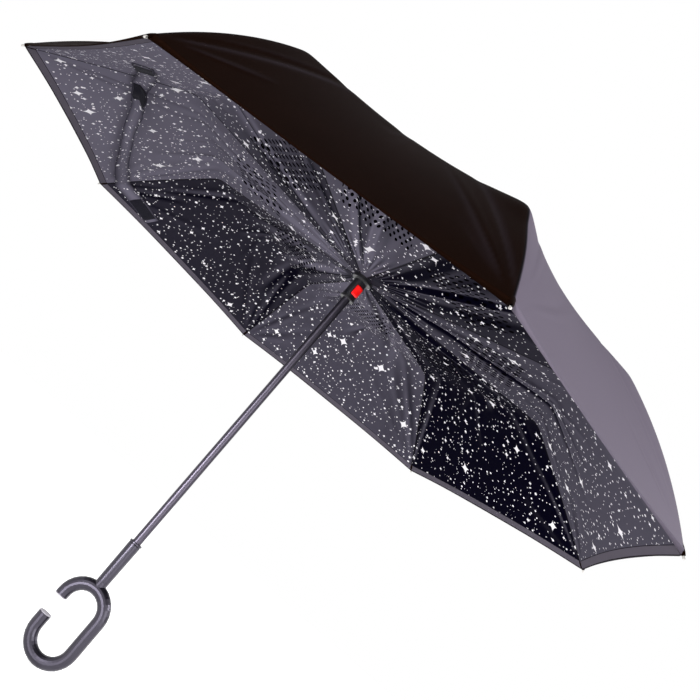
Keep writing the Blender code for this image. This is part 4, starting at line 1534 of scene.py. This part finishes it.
@dataclass
class Studio:
    """Pale floor, soft lamps and the camera of the photograph."""

    floor_height: float = -0.0640
    floor_size: float = 9.0
    floor_glow: float = 0.87
    world_light: float = 0.22
    lens_mm: float = 48.03
    shift: Pair = (0.0794, -0.0410)

    def build(self) -> None:
        """Makes the floor, world, lamps and camera."""
        self.lay_floor()
        self.light_world()
        self.hang_lamps()
        self.set_camera()
        log.info("studio ready")

    def lay_floor(self) -> None:
        """Makes a near-white floor that shows white to the camera and keeps the shadow."""
        mesh = bpy.data.meshes.new("floor")
        size, low = self.floor_size, self.floor_height
        corners = [(-size, -size, low), (size, -size, low), (size, size, low), (-size, size, low)]
        mesh.from_pydata(corners, [], [(0, 1, 2, 3)])
        floor = placed("floor", mesh)
        made = bpy.data.materials.new("studio_floor_white")
        made.use_nodes = True
        tree = made.node_tree
        glow = {0: self.shown(tree), 1: self.floor_glow}
        inputs = {
            "Base Color": linear("#e6e6e6"), "Roughness": 0.9, "Emission Color": (1, 1, 1, 1),
            "Emission Strength": add(tree, "Math", glow, operation="MULTIPLY"),
        }
        fill(tree.nodes["Principled BSDF"], inputs)
        mesh.materials.append(made)

    @staticmethod
    def shown(tree: NodeTree) -> Node:
        """Gives a node that is 1 for the rays that show the background."""
        rays = add(tree, "LightPath").outputs
        shown = rays["Is Camera Ray"]
        for other in ("Is Glossy Ray", "Is Transmission Ray"):
            shown = add(tree, "Math", {0: shown, 1: rays[other]}, operation="MAXIMUM")
        return shown

    def light_world(self) -> None:
        """Makes a world that is white to the camera and a plain grey light to the object."""
        world = bpy.data.worlds.new("studio")
        bpy.context.scene.world = world
        world.use_nodes = True
        tree = world.node_tree
        levels = {"Value": self.shown(tree), "To Min": self.world_light, "To Max": 1.0}
        inputs = {"Color": (1, 1, 1, 1), "Strength": add(tree, "MapRange", levels)}
        fill(tree.nodes["Background"], inputs)

    def hang_lamps(self) -> None:
        """Hangs a large soft lamp behind, a tall strip in front and a weak fill."""
        rows = (
            ("key_lamp", (2.3, 1.0, 2.1), (0.1, -0.1, 0.55), (1.3, 1.3), 100.0),
            ("strip_lamp", (-0.62, -2.1, 0.20), (0.0, 0.0, 0.20), (0.17, 0.50), 46.0),
            ("fill_lamp", (1.7, -1.7, 0.6), (0.0, 0.0, 0.4), (1.5, 1.5), 30.0),
        )
        for name, place, target, size, power in rows:
            data = bpy.data.lights.new(name, "AREA")
            data.shape = "RECTANGLE"
            data.size, data.size_y = size
            data.energy = power
            lamp = placed(name, data)
            way = Vector(place) - Vector(target)
            lamp.rotation_euler = way.to_track_quat("Z", "Y").to_euler()
            lamp.location = place

    def set_camera(self) -> None:
        """Sets the camera where the photograph's was."""
        data = bpy.data.cameras.new("camera")
        data.sensor_width = 36
        data.sensor_fit = "HORIZONTAL"
        data.lens = self.lens_mm
        data.shift_x, data.shift_y = self.shift
        camera = placed("camera", data)
        camera.matrix_world = Matrix(
            (
                (0.7645721, -0.6079548, 0.2140573, 0.2400),
                (0.0371048, -0.2900421, -0.9562943, -1.2278),
                (0.6434693, 0.7390985, -0.1992001, 0.2314),
                (0, 0, 0, 1),
            )
        )
        bpy.context.scene.camera = camera
        bpy.context.scene.view_settings.view_transform = "Standard"


def main() -> None:
    """Builds the pieces in order."""
    logging.basicConfig(level=logging.INFO, format="%(name)s: %(message)s")
    Hardware().dress()
    canopy = Canopy()
    canopy.build()
    ClosureStrap(canopy.inner).build()
    TipPockets().build()
    LeafSpring().build()
    Studio().build()


if __name__ == "__main__":
    main()
